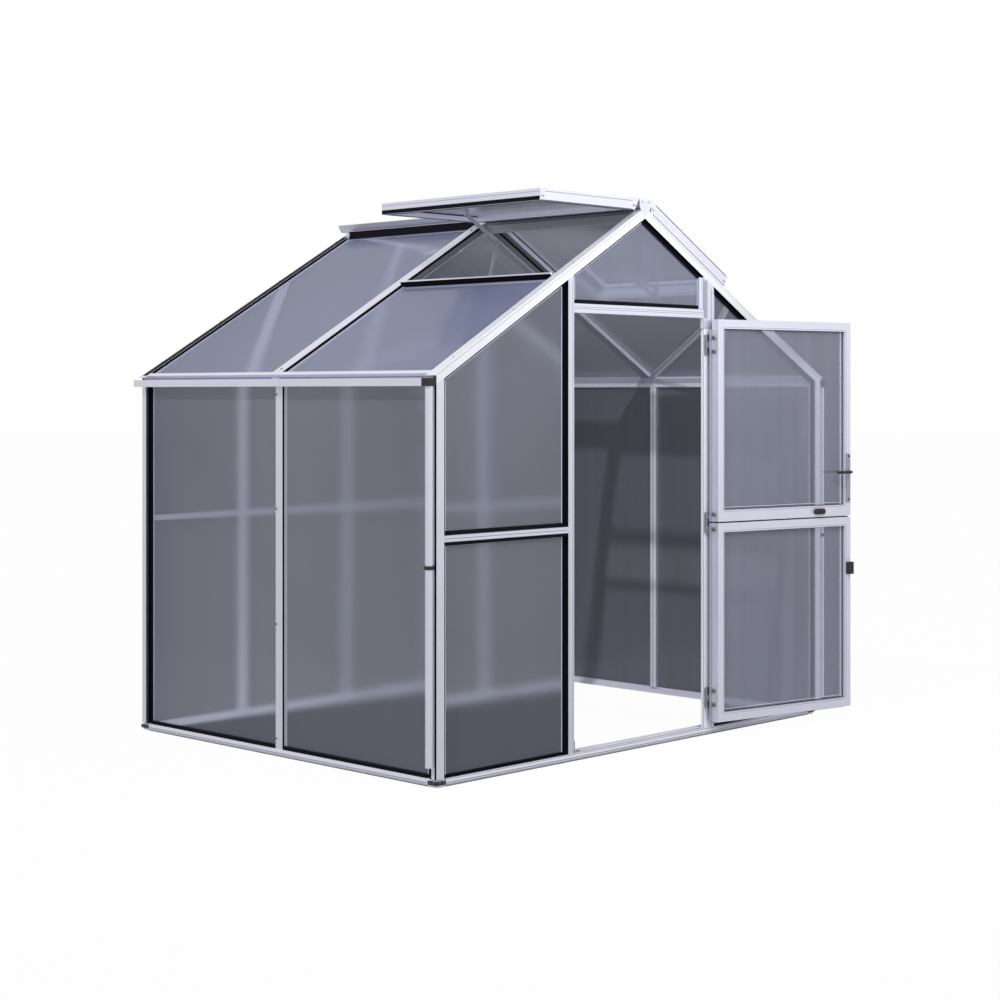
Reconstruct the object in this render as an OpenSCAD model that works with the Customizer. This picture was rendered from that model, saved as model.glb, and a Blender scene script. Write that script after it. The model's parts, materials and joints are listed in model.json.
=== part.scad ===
// Small gable greenhouse: aluminium glazing bars, twin-wall polycarbonate sheets,
// a two-leaf stable door, one hinged roof vent a side, gutters and downpipes.
// X runs across the gable, Y along the ridge away from the door, Z up from the ground.
// The origin is the middle of the door sill's underside.

/* [House] */
// Width across the gable, outside the frame
house_w = 2420; // [2100:10:2800]
// Depth along the ridge, outside the frame
house_d = 1870; // [1600:10:2400]
// Height of the roof bars over the outer wall face
eave_h = 1560; // [1500:1:1800]
// Roof pitch in degrees
pitch = 30; // [26:0.5:34]

/* [Frame bars] */
// Depth of the wall bars, from outer to inner face
frame_t = 40; // [36:1:50]
// Width of a corner post
corner_w = 40; // [36:1:50]
// Width of the left door post
post_left_w = 34; // [30:1:46]
// Width of the right door post, which carries the hinges
post_right_w = 72; // [64:1:84]
// Width of that post's shallow part, beside the doorway
post_step_w = 34; // [26:1:38]
// Depth of that part
post_step_t = 14; // [12:1:20]
// Width of the glazing bar in the middle of a side wall
bar_w = 43; // [36:1:56]
// Width of the glazing bar in the middle of the roof
roof_bar_w = 58; // [44:1:66]
// How far that bar's centre lies behind the middle of the side walls
roof_bar_back = 17; // [8:1:22]
// Setback of that bar from the outer wall face
bar_in = 8; // [4:1:10]
// Depth of the roof bars, square to the slope
rafter_t = 40; // [36:1:50]
// Height of the middle rails
rail_h = 24; // [22:1:40]
// Height of the middle rails' lower edge over the ground
rail_z = 920; // [800:1:1000]
// Wall thickness of the aluminium profiles
wall = 2; // [1.4:0.1:2.6]
// How far the gable bars reach past the side walls
overhang = 20; // [12:1:26]
// Width of the strip that holds the roof sheets' lower edges
strip_w = 24; // [20:1:40]
// How far that strip reaches past the side walls
strip_past = 8; // [4:1:12]

/* [Base] */
// Height of the base rail
base_h = 30; // [28:1:40]
// Bevel along the base rail's outer edge
base_bevel = 8; // [4:1:10]
// Height of the base rail's recessed foot
foot_h = 9; // [6:1:12]
// Recess of that foot
foot_in = 4; // [2:0.5:8]
// Floor of the glazing channel in the base rail
channel_z = 20; // [18:1:24]
// Length of each leg of a base corner plate
plate_l = 46; // [38:1:80]
// Height of a base corner plate
plate_h = 15; // [12:1:22]
// Thickness of a base corner plate
plate_t = 3; // [2:0.5:5]

/* [Glazing] */
// Thickness of the twin-wall sheet
sheet_t = 6; // [4:0.5:8]
// Setback of wall sheets from the outer frame face
wall_set = 20; // [18:1:22]
// Setback of roof sheets below the roof bars' tops
roof_set = 12; // [10:1:14]
// Depth of the grooves that hold the sheets
slot_d = 8; // [6:0.5:10]
// Play left at a sheet's edge in its groove
edge_gap = 2; // [1:0.5:3]
// Play either side of a sheet in its groove, and of other seats
play = 0.3; // [0.2:0.05:0.5]
// Width of the black glazing gasket along upright bars
gasket_w = 20; // [12:1:28]
// Width of the gasket along level and sloping bars
gasket_low = 12; // [8:1:20]
// Thickness of the gasket's lip, which lines the sides of the bars
lip_t = 1.5; // [1:0.1:2]
// Thickness of the gasket
gasket_t = 2.5; // [1.5:0.5:4]

/* [Doorway] */
// Clear width between the door posts
door_open_w = 834; // [700:1:950]
// Offset of the doorway's centre from the middle of the gable
door_shift = -25; // [-60:1:60]
// Height of the transom's lower edge over the eaves
transom_up = 246; // [200:1:290]
// Height of the transom
transom_h = 37; // [32:1:46]

/* [Door leaves] */
// Gap between a leaf and the hinge post
leaf_gap = 20; // [16:0.5:24]
// Gap between a leaf and the latch post
latch_gap = 14; // [8:1:20]
// Bottom of the lower leaf over the ground
leaf_lo = 60; // [45:1:70]
// Top of the upper leaf below the transom
leaf_top_gap = 6; // [5:1:12]
// Gap between the two leaves
leaf_split_gap = 6; // [6:1:10]
// Height of the split between the leaves
leaf_split = 922; // [850:1:980]
// Thickness of a leaf
leaf_t = 40; // [32:1:42]
// Width of a leaf's stiles
stile_w = 35; // [30:1:50]
// Height of a leaf's rails
leaf_rail = 40; // [34:1:50]
// Height of the upper leaf's bottom rail
meeting_rail = 50; // [44:1:60]
// Angle that the leaves stand open
open_angle = 169.5; // [100:0.5:173]

/* [Hinges and furniture] */
// Distance of the hinge pins past the edge of the doorway
pin_in = 8; // [7:0.5:12]
// Distance of the hinge pins in front of the gable
pin_out = 7; // [6.5:0.5:9]
// Radius of the hinge knuckles
knuckle_r = 6; // [5:0.5:8]
// Radius of the hinge pins
pin_r = 3; // [2:0.25:4]
// Running clearance of a leaf's knuckle on its pin
pin_gap = 0.3; // [0.2:0.05:0.5]
// Height of one hinge
hinge_h = 86; // [72:1:100]
// Thickness of the hinge plates
hinge_t = 2.5; // [2:0.25:3.5]
// Gap between a leaf's hinge plate and the post
hinge_off = 1.5; // [1:0.25:2.5]
// Width of a leaf's hinge plate on the leaf
hinge_w = 26; // [20:1:32]
// Height of the handle plate
grip_plate_h = 220; // [160:1:260]
// Height of the handle plate's lower end over the ground
grip_plate_z = 987; // [960:1:1100]
// Width of the handle plate
grip_plate_w = 24; // [18:1:30]
// Thickness of the handle plate
grip_plate_t = 6; // [4:0.5:8]
// Height of the catch block's lower end over the ground
latch_z = 660; // [500:1:800]
// Length of the lever
lever_l = 95; // [70:1:130]
// Diameter of the lever
lever_d = 15; // [12:1:20]
// Stand-off of the lever from its plate
lever_out = 30; // [22:1:36]

/* [Ridge] */
// Width of the ridge beam
ridge_w = 40; // [34:1:56]
// Height of the ridge cap, which stands on the roof bars' meeting line
ridge_rise = 34; // [26:1:40]
// Width of the ridge cap's flat top
ridge_cap_w = 76; // [64:1:96]
// Width of the ridge cap at its foot
ridge_foot_w = 34; // [26:1:38]
// How far the ridge cap runs past the rear gable
ridge_past = 36; // [0:1:60]

/* [Vents] */
// Gap between a vent's hinge edge and the ridge cap
vent_hinge_gap = 0.3; // [0.2:0.1:1]
// Length of a vent leaf down the slope
vent_l = 604; // [450:1:650]
// Thickness of a vent leaf
vent_t = 48; // [40:1:48]
// Width of a vent leaf's frame bars
vent_bar = 36; // [32:1:44]
// Height of the vent sheet in its frame
vent_sheet_up = 24; // [14:1:30]
// Distance of the vent's rear edge short of the middle bar's centre
vent_short = 6; // [2:1:16]
// Width of the sill bar below a vent
sill_w = 26; // [24:1:36]
// How far a shut vent laps over its sill
sill_lap = 28; // [16:1:32]
// Angle that the left vent stands open
vent_angle = 30; // [10:0.5:34]
// Distance of the opener's lug from the vent's free edge
lug_in = 51; // [30:1:70]
// Depth of the opener's lug under the vent
lug_out = 24; // [14:1:30]
// Depth of the opener's lower pivot under the sill
sill_lug = 22; // [16:1:40]
// Length of each opener arm
arm_l = 208; // [190:1:240]
// Width of an opener arm
arm_w = 16; // [10:1:22]
// Thickness of an opener arm
arm_t = 5; // [3:0.5:8]

/* [Gutters] */
// Width of a gutter
gutter_w = 45; // [36:1:60]
// Height of a gutter
gutter_h = 30; // [22:1:34]
// Wall thickness of a gutter
gutter_wall = 1.5; // [1:0.1:2]
// Drop of a gutter's underside below the eaves
gutter_drop = 52; // [46:1:70]
// Length of the black outlet at a gutter's front end
outlet_l = 35; // [30:1:50]
// Diameter of a downpipe
pipe_d = 30; // [24:1:36]
// Height of a downpipe's end over the ground
pipe_end = 78; // [40:1:200]
// Height of the pipe clip over the ground
clip_z = 820; // [300:1:1200]
// Height of the pipe clip
clip_h = 14; // [10:1:24]

/* [Hidden] */
$fn = 48;

alu = [0.87, 0.87, 0.91];
tint = [0.36, 0.37, 0.42, 0.75];
black = [0.05, 0.05, 0.06];
eps = 0.01;
big = 4000;

hw = house_w / 2;
front = -frame_t / 2;
rear = house_d - frame_t / 2;
mid_y = (front + rear) / 2;
apex = eave_h + hw * tan(pitch);
insert = slot_d - edge_gap;
door_x0 = door_shift - door_open_w / 2;
door_x1 = door_shift + door_open_w / 2;
post_x0 = door_x0 - post_left_w;
post_x1 = door_x1 + post_right_w;
side_in = hw - corner_w;
gutter_z = eave_h - gutter_drop;
eave_lo = gutter_z + 2;
roof_bar_y = mid_y + roof_bar_back - roof_bar_w / 2;
transom_z = eave_h + transom_up;
sheet_low = roof_set + sheet_t;

// Vertical depth of a plane that lies d below the roof bars' tops, square to the slope
function roof_z(x, d) = apex - abs(x) * tan(pitch) - d / cos(pitch);
// Distance down the slope of the point at level distance x from the ridge, at depth d
function slope_at(x, d) = (x + d * sin(pitch)) / cos(pitch);

// ---------- placing ----------
module both_sides() {
    children();
    mirror([1, 0, 0]) children();
}

module side_of(s) {
    mirror([s < 0 ? 1 : 0, 0, 0]) children();
}

// The rear gable is the front one turned round
module at_rear() {
    translate([0, front + rear, 0]) rotate([0, 0, 180]) children();
}

// X runs down the slope from the ridge line, Z square out of the roof
module slope(s) {
    side_of(s) translate([0, 0, apex]) rotate([0, pitch, 0]) children();
}

// Extrudes a section drawn as (depth, height) along X
module along_x(length) {
    rotate([90, 0, 90]) linear_extrude(length) children();
}

// Extrudes a section drawn as (x, z) along Y
module along_y(length) {
    translate([0, length, 0]) rotate([90, 0, 0]) linear_extrude(length) children();
}

// Everything lower than a plane d below the roof bars' tops
module under_roof(d) {
    reach = hw + 300;
    translate([0, front - 100, 0]) along_y(house_d + 200)
        polygon([[-reach, -1], [-reach, roof_z(reach, d)], [0, roof_z(0, d)],
            [reach, roof_z(reach, d)], [reach, -1]]);
}

// ---------- sections ----------
// Glazing bar: outer box, web and inner box, with a sheet groove in each side
module bar_section(w, t, set, left = true, right = true) {
    groove = sheet_t + 2 * play;
    inner = set + sheet_t + play;
    difference() {
        square([w, t]);
        if (left) translate([-eps, set - play]) square([slot_d + eps, groove]);
        if (right) translate([w - slot_d, set - play]) square([slot_d + eps, groove]);
        translate([wall, wall]) square([w - 2 * wall, set - play - 2 * wall]);
        translate([wall, inner + wall]) square([w - 2 * wall, t - inner - 2 * wall]);
    }
}

// Base rail: recessed foot, bevelled lip, glazing channel and inner lip
module base_section() {
    lip = wall_set - play;
    inner = wall_set + sheet_t + play;
    difference() {
        polygon([[foot_in, 0], [foot_in, foot_h], [0, foot_h], [0, base_h - base_bevel],
            [base_bevel, base_h], [lip, base_h], [lip, channel_z], [inner, channel_z],
            [inner, base_h], [inner + 2 * wall, base_h], [inner + 2 * wall, channel_z],
            [frame_t, channel_z], [frame_t, 0]]);
        translate([foot_in + wall, wall])
            square([frame_t - foot_in - 2 * wall, channel_z - 2 * wall]);
    }
}

// Corner post: a groove for the gable sheet and one for the side sheet
module corner_section() {
    groove = sheet_t + 2 * play;
    difference() {
        square([corner_w, frame_t]);
        translate([corner_w - slot_d, wall_set - play]) square([slot_d + eps, groove]);
        translate([wall_set - play, frame_t - slot_d]) square([groove, slot_d + eps]);
        translate([wall, wall]) square([wall_set - play - 2 * wall, wall_set - play - 2 * wall]);
    }
}

// Gable bar: a groove in its inner side for the roof sheet, one below for the gable sheet
module gable_bar_section() {
    groove = sheet_t + 2 * play;
    difference() {
        square([frame_t, rafter_t]);
        translate([frame_t - slot_d, roof_set - play]) square([slot_d + eps, groove]);
        translate([wall_set - play, rafter_t - slot_d]) square([groove, slot_d + eps]);
        translate([wall, wall])
            square([wall_set - play - 2 * wall, rafter_t - 2 * wall]);
    }
}

// Ridge beam between the roof bars, with its flat-topped cap
module ridge_beam_section() {
    half = ridge_w / 2;
    low = roof_z(half, rafter_t);
    difference() {
        translate([-half, low]) square([ridge_w, apex + wall - low]);
        translate([-half + wall, low + wall])
            square([ridge_w - 2 * wall, apex - low - 2 * wall]);
    }
}

// The cap's sides lean out from its foot to its top
module ridge_cap_section() {
    top = ridge_cap_w / 2;
    foot = ridge_foot_w / 2;
    side = wall * 1.4;
    difference() {
        polygon([[-foot, apex], [foot, apex], [top, apex + ridge_rise - wall],
            [top, apex + ridge_rise], [-top, apex + ridge_rise], [-top, apex + ridge_rise - wall]]);
        polygon([[-foot + side, apex + wall], [foot - side, apex + wall],
            [top - side * 1.5, apex + ridge_rise - wall], [-top + side * 1.5, apex + ridge_rise - wall]]);
    }
}

// Panel outline in a gable: level sides and bottom, the roof line on top.
// i shrinks it on every side; a negative i grows it into the grooves.
// k, where given, shrinks its lower edge and its roof line instead.
function gable_panel(xa, xb, za, i, k) =
    let (j = is_undef(k) ? i : k, a = xa + i, b = xb - i, d = rafter_t + j)
    concat([[a, za + j], [b, za + j], [b, roof_z(b, d)]],
        xa < 0 && xb > 0 ? [[0, roof_z(0, d)]] : [], [[a, roof_z(a, d)]]);

function box_panel(xa, xb, za, zb, i, k) =
    let (j = is_undef(k) ? i : k)
    [[xa + i, za + j], [xb - i, za + j], [xb - i, zb - j], [xa + i, zb - j]];

// ---------- base ----------
module base_bar(length) {
    difference() {
        translate([-length / 2, front, 0]) along_x(length) base_section();
        for (s = [-1, 1]) side_of(s) translate([0, 0, -1]) linear_extrude(base_h + 2)
            polygon([[length / 2 + 1, front - 1], [length / 2 + 1, front + frame_t + 1],
                [length / 2 - frame_t - 1, front + frame_t + 1]]);
    }
}

module base_side() {
    translate([-hw - front, mid_y, 0]) rotate([0, 0, -90]) base_bar(house_d);
}

module base_front() { color(alu) base_bar(house_w); }

module base_rear() { color(alu) at_rear() base_bar(house_w); }

module base_left() { color(alu) base_side(); }

module base_right() { color(alu) mirror([1, 0, 0]) base_side(); }

module base_corner() {
    translate([-hw - plate_t, front - plate_t, foot_h]) difference() {
        cube([plate_l + plate_t, plate_l + plate_t, plate_h]);
        translate([plate_t, plate_t, -1]) cube([plate_l + 1, plate_l + 1, plate_h + 2]);
    }
}

module base_corners() {
    color(black) both_sides() {
        base_corner();
        at_rear() base_corner();
    }
}

// ---------- posts and rails ----------
module corner_post() {
    intersection() {
        translate([-hw, front, base_h]) linear_extrude(eave_h) corner_section();
        under_roof(rafter_t);
    }
}

module corner_posts() {
    color(alu) both_sides() {
        corner_post();
        at_rear() corner_post();
    }
}

module side_posts() {
    color(alu) both_sides() translate([-hw + bar_in, mid_y + bar_w / 2, base_h])
        rotate([0, 0, -90]) linear_extrude(eave_lo - base_h)
            bar_section(bar_w, frame_t - bar_in, wall_set - bar_in);
}

// Post in a gable from xa to xb, from the base rail up to the gable bar
module gable_post(xa, xb, left = true, right = true) {
    intersection() {
        translate([xa, front, base_h]) linear_extrude(apex)
            bar_section(xb - xa, frame_t, wall_set, left, right);
        under_roof(rafter_t);
    }
}

// Groove in a door post over the transom, for the top sheet
module top_groove(x) {
    translate([x, front + wall_set - play, transom_z + transom_h - slot_d])
        cube([slot_d + eps, sheet_t + 2 * play, apex]);
}

// Shallow part of the hinge post; over the transom it is as deep as the rest
module post_step() {
    intersection() {
        union() {
            translate([door_x1, front, base_h]) linear_extrude(apex) difference() {
                square([post_step_w + eps, post_step_t]);
                translate([wall, wall])
                    square([post_step_w - 2 * wall, post_step_t - 2 * wall]);
            }
            translate([door_x1, front + post_step_t - eps, transom_z])
                cube([post_step_w + eps, frame_t - post_step_t + eps, apex]);
        }
        under_roof(rafter_t);
    }
}

module door_posts() {
    color(alu) {
        difference() {
            gable_post(post_x0, door_x0, right = false);
            top_groove(door_x0 - slot_d);
        }
        difference() {
            union() {
                gable_post(door_x1 + post_step_w, post_x1, left = false);
                post_step();
            }
            top_groove(door_x1 - eps);
        }
    }
}

module rear_posts() {
    color(alu) at_rear() {
        gable_post(post_x0, door_x0);
        gable_post(door_x1, post_x1);
    }
}

// Level bar in a gable from xa to xb, with its lower edge at z
module gable_rail(xa, xb, z, h, below = true) {
    translate([xa, front, z]) along_x(xb - xa)
        mirror([1, -1, 0]) bar_section(h, frame_t, wall_set, left = below);
}

module side_rails() {
    gable_rail(-side_in, post_x0, rail_z, rail_h);
    gable_rail(post_x1, side_in, rail_z, rail_h);
}

module front_rails() {
    color(alu) {
        side_rails();
        gable_rail(door_x0, door_x1, transom_z, transom_h, below = false);
    }
}

module rear_rails() {
    color(alu) at_rear() {
        side_rails();
        gable_rail(door_x0, door_x1, rail_z, rail_h);
    }
}

// ---------- eaves ----------
module eave_outline() {
    polygon([[hw, eave_lo], [hw, roof_z(hw, sheet_low + play)],
        [hw - frame_t, roof_z(hw - frame_t, sheet_low + play)], [hw - frame_t, eave_lo]]);
}

module eave_rails() {
    color(alu) both_sides() difference() {
        translate([0, front + frame_t, 0]) along_y(house_d - 2 * frame_t) difference() {
            eave_outline();
            translate([hw - wall_set - sheet_t - play, eave_lo - eps])
                square([sheet_t + 2 * play, slot_d + eps]);
            translate([hw - frame_t + wall, eave_lo + slot_d + wall])
                square([frame_t - 2 * wall, roof_z(hw, sheet_low + play) - eave_lo - slot_d - 2 * wall]);
        }
    }
}

strip_x = slope_at(hw, 0) - strip_w + strip_past;

// Clamping strip on top of the roof sheets' lower edges
module eave_strips() {
    depth = roof_set - play;
    color(alu) for (s = [-1, 1]) slope(s)
        translate([strip_x, front + frame_t, -depth]) difference() {
            cube([strip_w, house_d - 2 * frame_t, depth]);
            translate([wall, -1, wall]) cube([strip_w - 2 * wall, house_d, depth - 2 * wall]);
        }
}

// ---------- roof bars ----------
module slope_bar(s, y, from, to) {
    slope(s) translate([from, y, 0]) along_x(to - from) mirror([0, 1, 0]) children();
}

// Takes away all within w / 2 of the ridge's middle plane
module ridge_cut(w) {
    translate([-w / 2, front - 1, 0]) cube([w, house_d + 2, big]);
}

// The two bars of a gable meet in a mitre under the ridge cap
module gable_rafter() {
    long = slope_at(hw + overhang, 0) + rafter_t;
    difference() {
        slope_bar(1, front, -rafter_t, long) gable_bar_section();
        translate([-big, front - 1, 0]) cube([big + play, house_d + 2, big]);
        translate([hw + overhang, front - 1, 0]) cube([big, frame_t + 2, big]);
        translate([hw, front - 1, 0]) cube([big, frame_t + 2, gutter_z + gutter_h + 10]);
    }
}

module gable_rafters() {
    color(alu) both_sides() {
        gable_rafter();
        at_rear() gable_rafter();
    }
}

module mid_rafters() {
    color(alu) both_sides() difference() {
        slope_bar(1, roof_bar_y, 0, slope_at(hw, roof_set))
            bar_section(roof_bar_w, rafter_t, roof_set);
        ridge_cut(ridge_w);
        translate([0, roof_bar_y - 10, 0]) along_y(roof_bar_w + 20) eave_outline();
        slope(1) translate([strip_x - play, roof_bar_y - 10, -roof_set])
            cube([strip_w, roof_bar_w + 20, 2 * roof_set]);
    }
}

module ridge() {
    color(alu) {
        translate([0, front + frame_t, 0]) along_y(house_d - 2 * frame_t) ridge_beam_section();
        translate([0, front, 0]) along_y(house_d + ridge_past) ridge_cap_section();
    }
}

// Wind brace from the eave rail at the middle post up to the front gable bar
module roof_brace() {
    low_x = slope_at(hw - frame_t, rafter_t) - 30;
    high_x = slope_at(hw / 2, rafter_t);
    start = [low_x, roof_bar_y - play, 0];
    end = [high_x, front + frame_t + play, 0];
    run = end - start;
    reach = norm(run) + 60;
    turn = atan2(run[1], run[0]);
    color(alu) intersection() {
        slope(1) translate(start + [0, 0, -rafter_t + 2]) rotate([0, 0, turn])
            translate([-30, -15, 0]) difference() {
                cube([reach, 30, 12]);
                translate([-1, wall, wall]) cube([reach + 2, 30 - 2 * wall, 12]);
            }
        translate([0, front + frame_t + play, 0])
            cube([hw - frame_t - play, roof_bar_y - front - frame_t - 2 * play, big]);
    }
}

// ---------- vents ----------
// The hinge line runs along the ridge cap's top edge, here in slope coordinates
vent_axis_x = ridge_cap_w / 2 + vent_hinge_gap;
vent_pivot = [vent_axis_x * cos(pitch) - ridge_rise * sin(pitch),
    vent_axis_x * sin(pitch) + ridge_rise * cos(pitch)];
vent_w = mid_y - vent_short - front;
sill_x = vent_pivot[0] + vent_l - sill_lap;

module vent_sills() {
    color(alu) for (s = [-1, 1]) slope(s)
        translate([sill_x, front + frame_t, 0]) rotate([90, 0, 180])
            translate([-sill_w, 0, 0]) linear_extrude(roof_bar_y - front - frame_t)
                mirror([0, 1, 0]) bar_section(sill_w, rafter_t, roof_set, right = false);
}

// Vent coordinates: X from the hinge to the free edge, Y across, Z up from the underside
module vent_at(s, angle) {
    slope(s) translate([vent_pivot[0], front, vent_pivot[1]]) rotate([0, -angle, 0])
        translate([0, 0, -vent_t]) children();
}

// The hinge end is cut so that it stands upright against the ridge cap when shut
module vent_frame() {
    top_bar = vent_bar + vent_t * tan(pitch);
    inner_l = vent_l - top_bar - vent_bar;
    difference() {
        cube([vent_l, vent_w, vent_t]);
        translate([0, -1, vent_t]) rotate([0, 90 + 90 - pitch, 0])
            cube([2 * vent_t, vent_w + 2, 2 * vent_t]);
        translate([top_bar, vent_bar, -1])
            cube([inner_l, vent_w - 2 * vent_bar, vent_t + 2]);
        translate([top_bar - slot_d, vent_bar - slot_d, vent_sheet_up - play])
            cube([inner_l + 2 * slot_d, vent_w - 2 * vent_bar + 2 * slot_d,
                sheet_t + 2 * play]);
    }
}

module vent_left_frame() { color(alu) vent_at(-1, vent_angle) vent_frame(); }

module vent_right_frame() { color(alu) vent_at(1, 0) vent_frame(); }

module vent_sheet() {
    edge = vent_bar - insert;
    start = edge + vent_t * tan(pitch);
    translate([start, edge, vent_sheet_up])
        cube([vent_l - start - edge, vent_w - 2 * edge, sheet_t]);
}

module vent_sheets() {
    color(tint) {
        vent_at(-1, vent_angle) vent_sheet();
        vent_at(1, 0) vent_sheet();
    }
}

// Opener: two hinged arms between a lug under the vent and one under the sill.
// Points are (x, z) in slope coordinates; z here counts up from the vent's underside.
function vent_point(x, z, angle) =
    [vent_pivot[0] + x * cos(angle) - (z - vent_t) * sin(angle),
        vent_pivot[1] + x * sin(angle) + (z - vent_t) * cos(angle)];

// Elbow of two equal arms between a and b, on the side of the ridge
function elbow(a, b) =
    let (m = (a + b) / 2, half = norm(b - a) / 2, n = [b[1] - a[1], a[0] - b[0]] / (2 * half))
    m - n * sqrt(arm_l * arm_l - half * half);

// Side is -1 or 1: which side of the opener's middle plane the arm lies on
module arm(a, b, side) {
    translate([0, side * (arm_t + play) / 2, 0]) rotate([90, 0, 0])
        linear_extrude(arm_t, center = true) hull() {
            translate(a) circle(d = arm_w);
            translate(b) circle(d = arm_w);
        }
}

module arm_pin(p) {
    rotate([90, 0, 0]) translate([p[0], p[1], 0])
        cylinder(d = arm_w / 2, h = 2 * arm_t + 6, center = true);
}

module vent_opener(s, angle) {
    low = [sill_x - arm_w, -rafter_t - sill_lug];
    top = vent_point(vent_l - lug_in, -lug_out, angle);
    knee = elbow(low, top);
    foot = vent_point(vent_l - lug_in, 0, angle);
    slope(s) translate([0, front + vent_w / 2, 0]) {
        arm(low, knee, -1);
        arm(knee, top, 1);
        for (p = [low, knee, top]) arm_pin(p);
        translate([low[0] - arm_w / 2, -arm_t, low[1] - arm_w / 2])
            cube([sill_x - low[0] + arm_w / 2 - play, 2 * arm_t, rafter_t + sill_lug]);
        translate([foot[0], 0, foot[1]]) rotate([0, -angle, 0])
            translate([-arm_w / 2, -arm_t, -lug_out - arm_w / 2])
                cube([arm_w, 2 * arm_t, lug_out + arm_w / 2 - play]);
    }
}

module vent_openers() {
    color(black) {
        vent_opener(-1, vent_angle);
        vent_opener(1, 0);
    }
}

// ---------- gutters ----------
module gutter() {
    start = front + outlet_l;
    translate([-hw - gutter_w, start, gutter_z]) difference() {
        cube([gutter_w - play, rear - start, gutter_h]);
        translate([gutter_wall, -1, gutter_wall])
            cube([gutter_w - 2 * gutter_wall - play, rear - start - gutter_wall + 1, big]);
    }
}

module gutters() { color(alu) both_sides() gutter(); }

module pipe_place() {
    translate([-hw - gutter_w / 2, front + outlet_l / 2, 0]) children();
}

module outlet() {
    translate([-hw - gutter_w - 1, front, gutter_z]) difference() {
        cube([gutter_w + 1 - play, outlet_l - play, gutter_h]);
        translate([wall, wall, wall])
            cube([gutter_w + 1 - 2 * wall - play, outlet_l, big]);
        translate([1 + gutter_w / 2, outlet_l / 2, -1]) cylinder(d = pipe_d - 2 * wall, h = wall + 2);
    }
}

// Clip: a ring round the pipe on a tab that is screwed to the corner post
module pipe_clip() {
    arm_x = gutter_w / 2 - pipe_d / 2;
    difference() {
        union() {
            pipe_place() translate([0, 0, clip_z]) cylinder(d = pipe_d + 8, h = clip_h);
            translate([-hw - arm_x - 4, front + outlet_l / 2 - 6, clip_z])
                cube([arm_x + 4 - play, 12, clip_h]);
        }
        pipe_place() translate([0, 0, clip_z - 1]) cylinder(d = pipe_d + 2 * play, h = clip_h + 2);
    }
}

module gutter_outlets() { color(black) both_sides() outlet(); }

module pipe_clips() { color(black) both_sides() pipe_clip(); }

module downpipes() {
    color(alu) both_sides() pipe_place() translate([0, 0, pipe_end]) difference() {
        cylinder(d = pipe_d, h = gutter_z - pipe_end - play);
        translate([0, 0, -1]) cylinder(d = pipe_d - 2 * wall, h = gutter_z + 2);
    }
}

// ---------- wall sheets ----------
module side_sheet(ya, yb) {
    bottom = channel_z + play;
    translate([-hw + wall_set, ya - insert, bottom])
        cube([sheet_t, yb - ya + 2 * insert, eave_lo + insert - bottom]);
}

side_bays = [[front + frame_t, mid_y - bar_w / 2], [mid_y + bar_w / 2, rear - frame_t]];

module side_sheets() { for (bay = side_bays) side_sheet(bay[0], bay[1]); }

module left_wall_sheets() { color(tint) side_sheets(); }

module right_wall_sheets() { color(tint) mirror([1, 0, 0]) side_sheets(); }

// A sheet or gasket drawn in (x, z), t thick, its outer face set back from the gable face
module gable_slab(set, t) {
    translate([0, front + set, 0]) along_y(t) children();
}

module low_sheet(xa, xb) {
    bottom = channel_z + play + insert;
    gable_slab(wall_set, sheet_t) polygon(box_panel(xa, xb, bottom, rail_z, -insert));
}

module top_sheet(xa, xb, z) {
    gable_slab(wall_set, sheet_t) polygon(gable_panel(xa, xb, z, -insert));
}

// The two bays beside the doorway
side_panels = [[-side_in, post_x0], [post_x1, side_in]];

module side_panel_sheets() {
    for (bay = side_panels) {
        low_sheet(bay[0], bay[1]);
        top_sheet(bay[0], bay[1], rail_z + rail_h);
    }
}

module front_wall_sheets() { color(tint) side_panel_sheets(); }

module front_gable_sheet() { color(tint) top_sheet(door_x0, door_x1, transom_z + transom_h); }

module rear_wall_sheets() {
    color(tint) at_rear() {
        side_panel_sheets();
        low_sheet(door_x0, door_x1);
        top_sheet(door_x0, door_x1, rail_z + rail_h);
    }
}

// ---------- roof sheets ----------
roof_bays = [[front + frame_t, roof_bar_y], [roof_bar_y + roof_bar_w, rear - frame_t]];
roof_x0 = slope_at(ridge_w / 2 + edge_gap, sheet_low);
roof_x1 = slope_at(hw, 0) + strip_past;

module roof_sheet(xa, xb, ya, yb) {
    translate([xa, ya - insert, -sheet_low]) cube([xb - xa, yb - ya + 2 * insert, sheet_t]);
}

module roof_sheets() {
    roof_sheet(sill_x + sill_w - insert, roof_x1, roof_bays[0][0], roof_bays[0][1]);
    roof_sheet(roof_x0, roof_x1, roof_bays[1][0], roof_bays[1][1]);
}

module roof_left_sheets() { color(tint) slope(-1) roof_sheets(); }

module roof_right_sheets() { color(tint) slope(1) roof_sheets(); }

// ---------- gaskets ----------
// Flat gasket on the outside of a gable sheet, between two outlines
module ring(outer, inner) {
    gable_slab(wall_set - play - gasket_t, gasket_t) difference() {
        polygon(outer);
        polygon(inner);
    }
}

// Lip from the gasket out along the bars, on all edges but the lower one
module lip(outer, inner) {
    gable_slab(1, wall_set - play - 1) difference() {
        polygon(outer);
        translate([0, -10]) polygon(inner);
    }
}

module low_gasket(xa, xb) {
    edge = box_panel(xa, xb, base_h, rail_z, play);
    ring(edge, box_panel(xa, xb, base_h, rail_z, gasket_w, gasket_low));
    lip(edge, box_panel(xa, xb, base_h, rail_z + 10, play + lip_t));
}

module top_gasket(xa, xb, z) {
    edge = gable_panel(xa, xb, z, play);
    ring(edge, gable_panel(xa, xb, z, gasket_w, gasket_low));
    lip(edge, gable_panel(xa, xb, z, play + lip_t, play + lip_t - 10 * cos(pitch)));
}

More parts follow.
